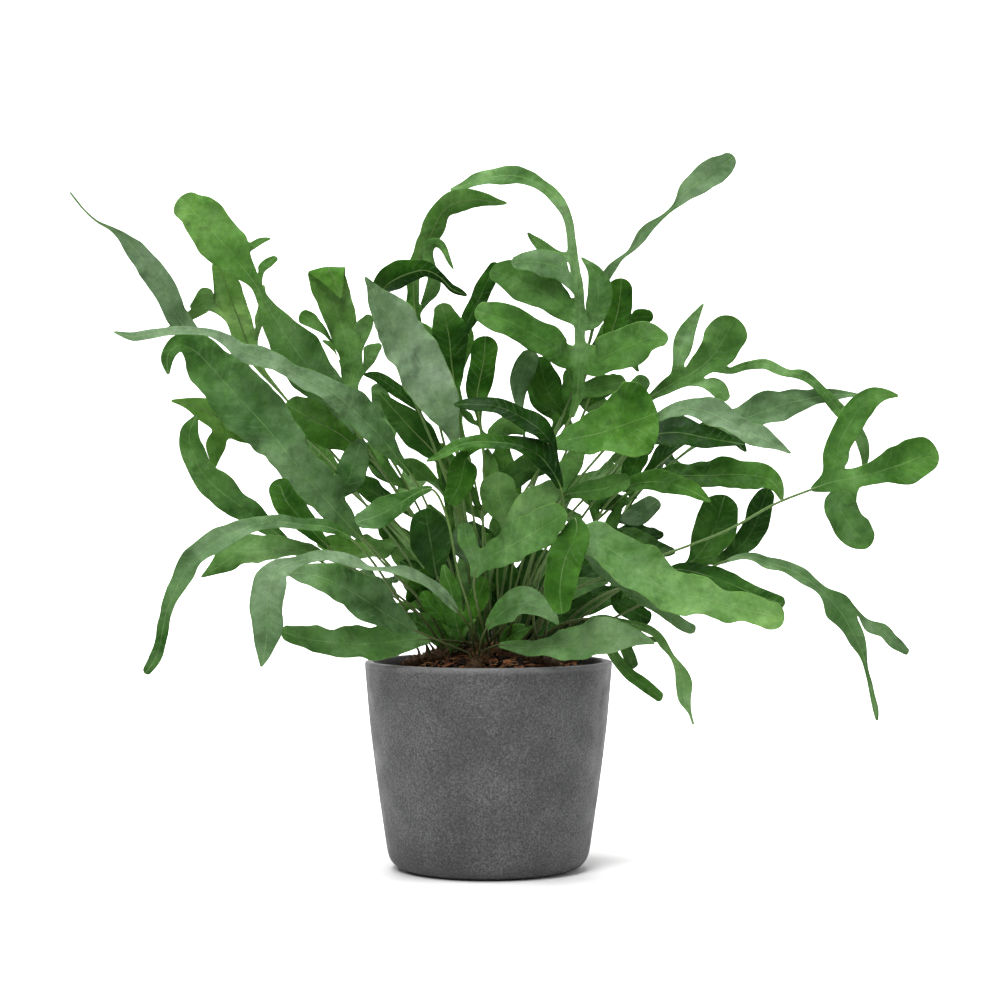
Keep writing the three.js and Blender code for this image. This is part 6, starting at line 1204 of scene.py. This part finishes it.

# Young leaves.
# Short new blades stand low among the stipes, where the grown fronds shade them; each comes off the rhizome.
# Written as the base and the tip, both as (side, up, depth), then half width, wax and light.
# Their low light values are partly painted shade from the grown fronds above.
YOUNG = [
    ((-26, 185, -20), (-45, 229, -25), 9, 0.1, 0.5), ((-8, 189, 10), (-21, 262, 5), 12, 0.35, 0.5),
    ((-10, 205, 15), (4, 253, 12), 8, 0.3, 0.42), ((26, 189, 20), (99, 246, 35), 15, 0.3, 0.15),
    ((34, 189, 10), (122, 227, 25), 9, 0.3, 0.3), ((50, 218, 15), (96, 236, 12), 8, 0.4, 0.5),
    ((10, 181, 35), (14, 256, 50), 14, 0.1, 0.15), ((22, 181, 40), (46, 261, 70), 14, 0.1, 0.1),
    ((-14, 181, 40), (-38, 253, 55), 13, 0.2, 0.12), ((-22, 181, 20), (-62, 221, 30), 11, 0.2, 0.25),
    ((-30, 177, 0), (-74, 209, 5), 9, 0.15, 0.25), ((10, 177, 30), (82, 205, 50), 9, 0.2, 0.15),
    ((34, 177, 20), (138, 190, 30), 9, 0.3, 0.25), ((2, 205, 50), (-14, 285, 80), 13, 0.1, 0.12),
    ((42, 205, 50), (82, 277, 80), 14, 0.2, 0.15), ((58, 215, 40), (122, 262, 70), 13, 0.2, 0.15),
    ((-46, 200, 40), (-70, 253, 60), 12, 0.2, 0.15), ((-34, 215, 50), (-46, 285, 75), 12, 0.15, 0.12),
    ((-30, 180, 50), (-62, 232, 110), 11, 0.2, 0.3), ((30, 180, 50), (72, 228, 120), 12, 0.2, 0.3),
    ((0, 180, 60), (12, 218, 125), 10, 0.2, 0.35), ((-30, 178, -20), (-10, 206, -35), 6, 0.2, 0.45),
    ((10, 182, -20), (36, 200, -25), 7, 0.15, 0.42), ((-4, 181, 0), (-30, 216, 15), 8, 0.2, 0.3),
    ((16, 181, 10), (40, 226, 20), 9, 0.15, 0.2),
]


def young_leaf(number, base, tip, half, wax, light):
    """A blade that first rises, then leans out, with its foot on the nearest arm of the rhizome."""
    blade = []
    for share, width in ((0, 0.2), (0.18, 0.6), (0.4, 1), (0.62, 0.95), (0.82, 0.6), (1, 0.14)):
        moved = (share**1.4, 1 - (1 - share) ** 1.5, share)
        blade.append([*(a + (b - a) * part for a, b, part in zip(base, tip, moved)), half * width])
    angle = math.degrees(math.atan2(base[2], base[0])) % 360
    arm = min(range(len(ARM_ANGLES)), key=lambda k: abs((ARM_ANGLES[k] - angle + 180) % 360 - 180))
    lean = 0.5 * math.sin(number * 2.1)
    frond(f"young_{number}", (arm, 1.5 + number % 3), [], blade, [(lean, -1, 0.4), (lean / 2, -0.8, 0.7)],
          [(wax, light), (wax + 0.1, light + 0.06)], [], 80 + number * 1.7)


for number, leaf in enumerate(YOUNG):
    young_leaf(number, *leaf)

# Floor and light.
# A white paper sweep runs along the floor and curves up behind the plant, with a lamp of its own.
# Soft lamps in front and above light the plant. Nothing here belongs to it.
PAPER_HALF = 9
BEND_START = 2.2
BEND_RADIUS = 2


def sweep():
    """One sheet of paper: a flat floor that turns up into a wall well behind the plant."""
    line = [(-PAPER_HALF, 0), (BEND_START, 0)]
    for turn in map(math.radians, range(6, 90, 6)):
        line.append((BEND_START + BEND_RADIUS * math.sin(turn), BEND_RADIUS - BEND_RADIUS * math.cos(turn)))
    line += [(BEND_START + BEND_RADIUS, BEND_RADIUS), (BEND_START + BEND_RADIUS, 5)]
    bm = bmesh.new()
    across = [bm.verts.new((-PAPER_HALF, y, z)) for y, z in line]
    edges = [bm.edges.new(pair) for pair in zip(across, across[1:])]
    grown = bmesh.ops.extrude_edge_only(bm, edges=edges)["geom"]
    bmesh.ops.translate(bm, verts=[v for v in grown if isinstance(v, bmesh.types.BMVert)],
                        vec=(2 * PAPER_HALF, 0, 0))
    made, tree, shader = material("white_paper")
    surface(tree, shader, (0.86, 0.86, 0.86, 1), 0.8, 0.2)
    finished(bm, "sweep", made)


def lamp(name, spot, aim, size, power):
    made = bpy.data.objects.new(name, bpy.data.lights.new(name, "AREA"))
    made.data.size = size
    made.data.energy = power
    made.location = spot
    made.rotation_euler = (Vector(aim) - Vector(spot)).to_track_quat("-Z", "Y").to_euler()
    bpy.context.collection.objects.link(made)


sweep()
lamp("key_light", (-0.8, -2.6, 2.5), (0, 0, 0.25), 1.4, 101)
lamp("fill_light", (2.4, -1.8, 1.2), (0, 0, 0.25), 1.8, 14)
lamp("top_light", (-0.1, -0.3, 2.4), (0, 0, 0.2), 0.9, 59)
lamp("paper_light", (0, 1.6, 3.4), (0, 4.6, 0.6), 2.4, 310)
world = bpy.data.worlds.new("studio")
world.use_nodes = True
world.node_tree.nodes["Background"].inputs["Color"].default_value = (1, 1, 1, 1)
world.node_tree.nodes["Background"].inputs["Strength"].default_value = 0.265
bpy.context.scene.world = world
bpy.context.scene.view_settings.view_transform = "Standard"
bpy.context.scene.view_settings.look = "None"
